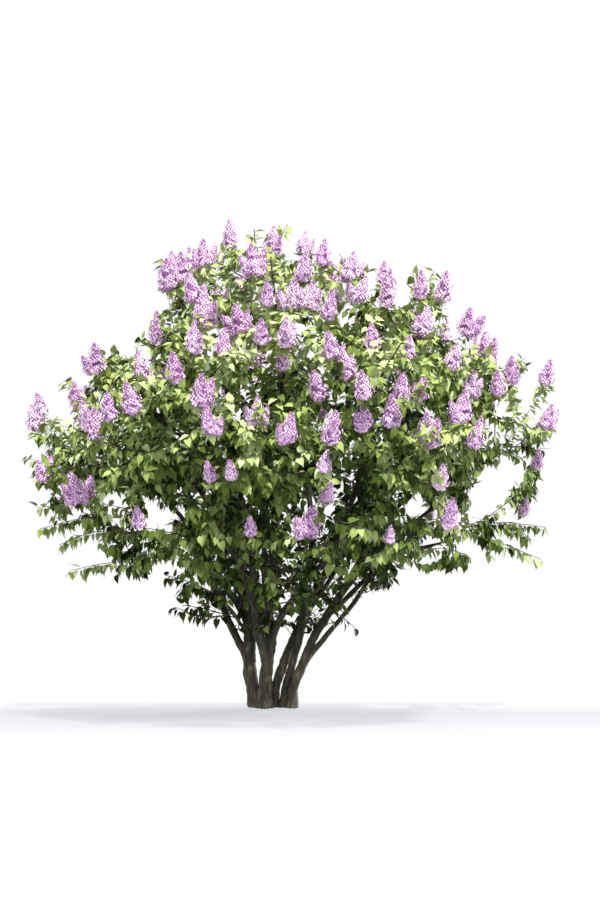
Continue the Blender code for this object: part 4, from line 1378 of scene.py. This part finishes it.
def model_floret():
    """Four blunt petals round a sunken throat, face up."""
    bpy.ops.mesh.primitive_circle_add(
        vertices=FLORET_CORNERS, radius=FLORET_ACROSS / 2, fill_type="TRIFAN"
    )
    floret = bpy.context.object
    for corner in floret.data.vertices:
        around = math.atan2(corner.co.y, corner.co.x) / (2 * math.pi / FLORET_CORNERS)
        if corner.co.length < SAME_CORNER:
            corner.co.z -= FLORET_ACROSS * THROAT_DEPTH
        elif round(around) % 2:
            corner.co *= PETAL_NOTCH
        else:
            corner.co.z -= FLORET_ACROSS * PETAL_DROOP
    return template_of(floret)


def model_bud():
    """A closed bud: a slim six-faced spindle, standing on its point."""
    bpy.ops.mesh.primitive_uv_sphere_add(segments=3, ring_count=3, radius=BUD_LENGTH / 2)
    bud = bpy.context.object
    for corner in bud.data.vertices:
        corner.co.x *= BUD_SLIMNESS
        corner.co.y *= BUD_SLIMNESS
    return template_of(bud)


def model_heart():
    """The stalk and shaded inside of a head: a closed cone that its florets stand out of."""
    bpy.ops.mesh.primitive_uv_sphere_add(segments=HEART_SIDES, ring_count=HEART_RINGS, radius=1)
    heart = bpy.context.object
    for corner in heart.data.vertices:
        share = (corner.co.z + 1) / 2
        lumps = HEART_SHARE + HEART_LUMP_HEIGHT * noise.noise(corner.co * HEART_LUMPS)
        reach = head_width(share) * HEAD_RADIUS * lumps
        flat = Vector((corner.co.x, corner.co.y)).normalized() * reach
        if not HEART_POINT < share < 1 - HEART_POINT:
            flat = Vector((0, 0))
        corner.co = (flat.x, flat.y, HEAD_LENGTH * (HEART_FOOT + HEART_LENGTH * share))
    return template_of(heart)


def head_width(share):
    for (low, wide), (high, next_wide) in zip(HEAD_PROFILE, HEAD_PROFILE[1:]):
        if share <= high:
            return wide + (next_wide - wide) * (share - low) / (high - low)
    return HEAD_PROFILE[-1][1]


def merged(batches):
    """One template of many copies, keeping each copy's tone."""
    corners, triangles, tones, first = [], [], [], 0
    for template, place, tone in batches:
        matrix = np.asarray(place)
        corners.append(template.corners @ matrix[:3, :3].T + matrix[:3, 3])
        triangles.append(template.triangles + first)
        tones.append(template.tones + tone)
        first += len(template.corners)
    return Template(np.concatenate(corners), np.concatenate(triangles), np.concatenate(tones))


def head_template(seed, floret, bud, heart):
    """A flower head of florets in a close spiral, lumpy, paler on its lumps as painted light and darker
    between as painted shade.
    """
    chance = random.Random(seed)
    shift = any_way(chance) * PATTERN_SHIFT
    shares = np.linspace(0, 1, PROFILE_STEPS)
    run = np.cumsum([head_width(share) for share in shares])
    # The heart takes the darkest purple, as painted shade of the head's inside.
    batches = [(heart, np.eye(4), -len(LILACS))]
    for number in range(FLORETS):
        share = float(np.interp((number + 0.5) / FLORETS, run / run[-1], shares))
        turn = number * GOLDEN_TURN
        out = Vector((math.cos(turn), math.sin(turn), 0))
        reach = head_width(share) * HEAD_RADIUS
        centre = out * reach + UP * HEAD_LENGTH * share * FLORETS_UP_TO
        rise = noise.noise(centre / LUMP_SIZE + shift)
        centre += out * reach * (LUMP_HEIGHT * rise + chance.uniform(*FLORET_DEPTHS))
        facing = (out + UP * FLORET_RISE + any_way(chance) * FLORET_SCATTER).normalized()
        along = any_way(chance).cross(facing).normalized()
        # Florets on raised lumps get paler tones as painted light, and those between them darker ones
        # as painted shade, with a random step added.
        shade = round(LUMP_SHADE * rise) + chance.choice(FLORET_SHADES)
        if share > BUDS_ABOVE or chance.random() < BUDS_BETWEEN:
            batches.append((bud, place_matrix(centre, along, facing, 1.0), shade - 1))
        else:
            size = chance.uniform(*FLORET_SIZES) * (FLORET_LOW_SIZE - FLORET_SHRINK * share)
            batches.append((floret, place_matrix(centre, along, facing, size), shade))
    return merged(batches)


def set_heads(shoot, places, tones, chance):
    """Sets a cluster of heads on a flowering shoot: one upright, and the others leaning from it."""
    tone = chance.choice(CLUSTER_TONES)
    turn = chance.uniform(0, 2 * math.pi)
    for cone in range(shoot.head.cones):
        aim, size, root = shoot.aim, shoot.head.size, shoot.points[-1]
        if cone:
            aside = Vector((math.cos(turn), math.sin(turn), 0))
            aim = (aim + aside * chance.uniform(*SIDE_HEAD_TILT)).normalized()
            size *= chance.uniform(*SIDE_HEAD_SIZE)
            root = root + aside * SIDE_HEAD_AWAY - shoot.aim * SIDE_HEAD_SUNK
            turn += math.pi + chance.uniform(-SIDE_HEAD_TURN, SIDE_HEAD_TURN)
        spin = any_way(chance).cross(aim).normalized()
        shape = chance.randrange(HEAD_TEMPLATES)
        places[shape].append(place_matrix(root, spin, aim, size))
        tones[shape].append(tone)


lilacs = []
for number, colour in enumerate(LILACS):
    name = f"lilac_petal_{number}"
    lilac, shader = grained_finish(name, colour, PETAL_ROUGHNESS, PETAL_GRAIN, PETAL_RAISED)
    shader.inputs["Sheen Weight"].default_value = PETAL_SHEEN
    lilacs.append(lilac)

floret, bud, heart = model_floret(), model_bud(), model_heart()
head_templates = [head_template(f"head {k}", floret, bud, heart) for k in range(HEAD_TEMPLATES)]
for tier in TIERS:
    places = [[] for _ in head_templates]
    tones = [[] for _ in head_templates]
    for mass in ring_of(tier):
        chance = random.Random(f"{mass.name} blossom")
        for shoot in shoots[mass.name]:
            if shoot.head:
                set_heads(shoot, places, tones, chance)
    if any(places):
        blossom = joined(f"blossom_{tier}", zip(head_templates, places, tones), lilacs)
        stand_for(blossom, foliage_of(tier))
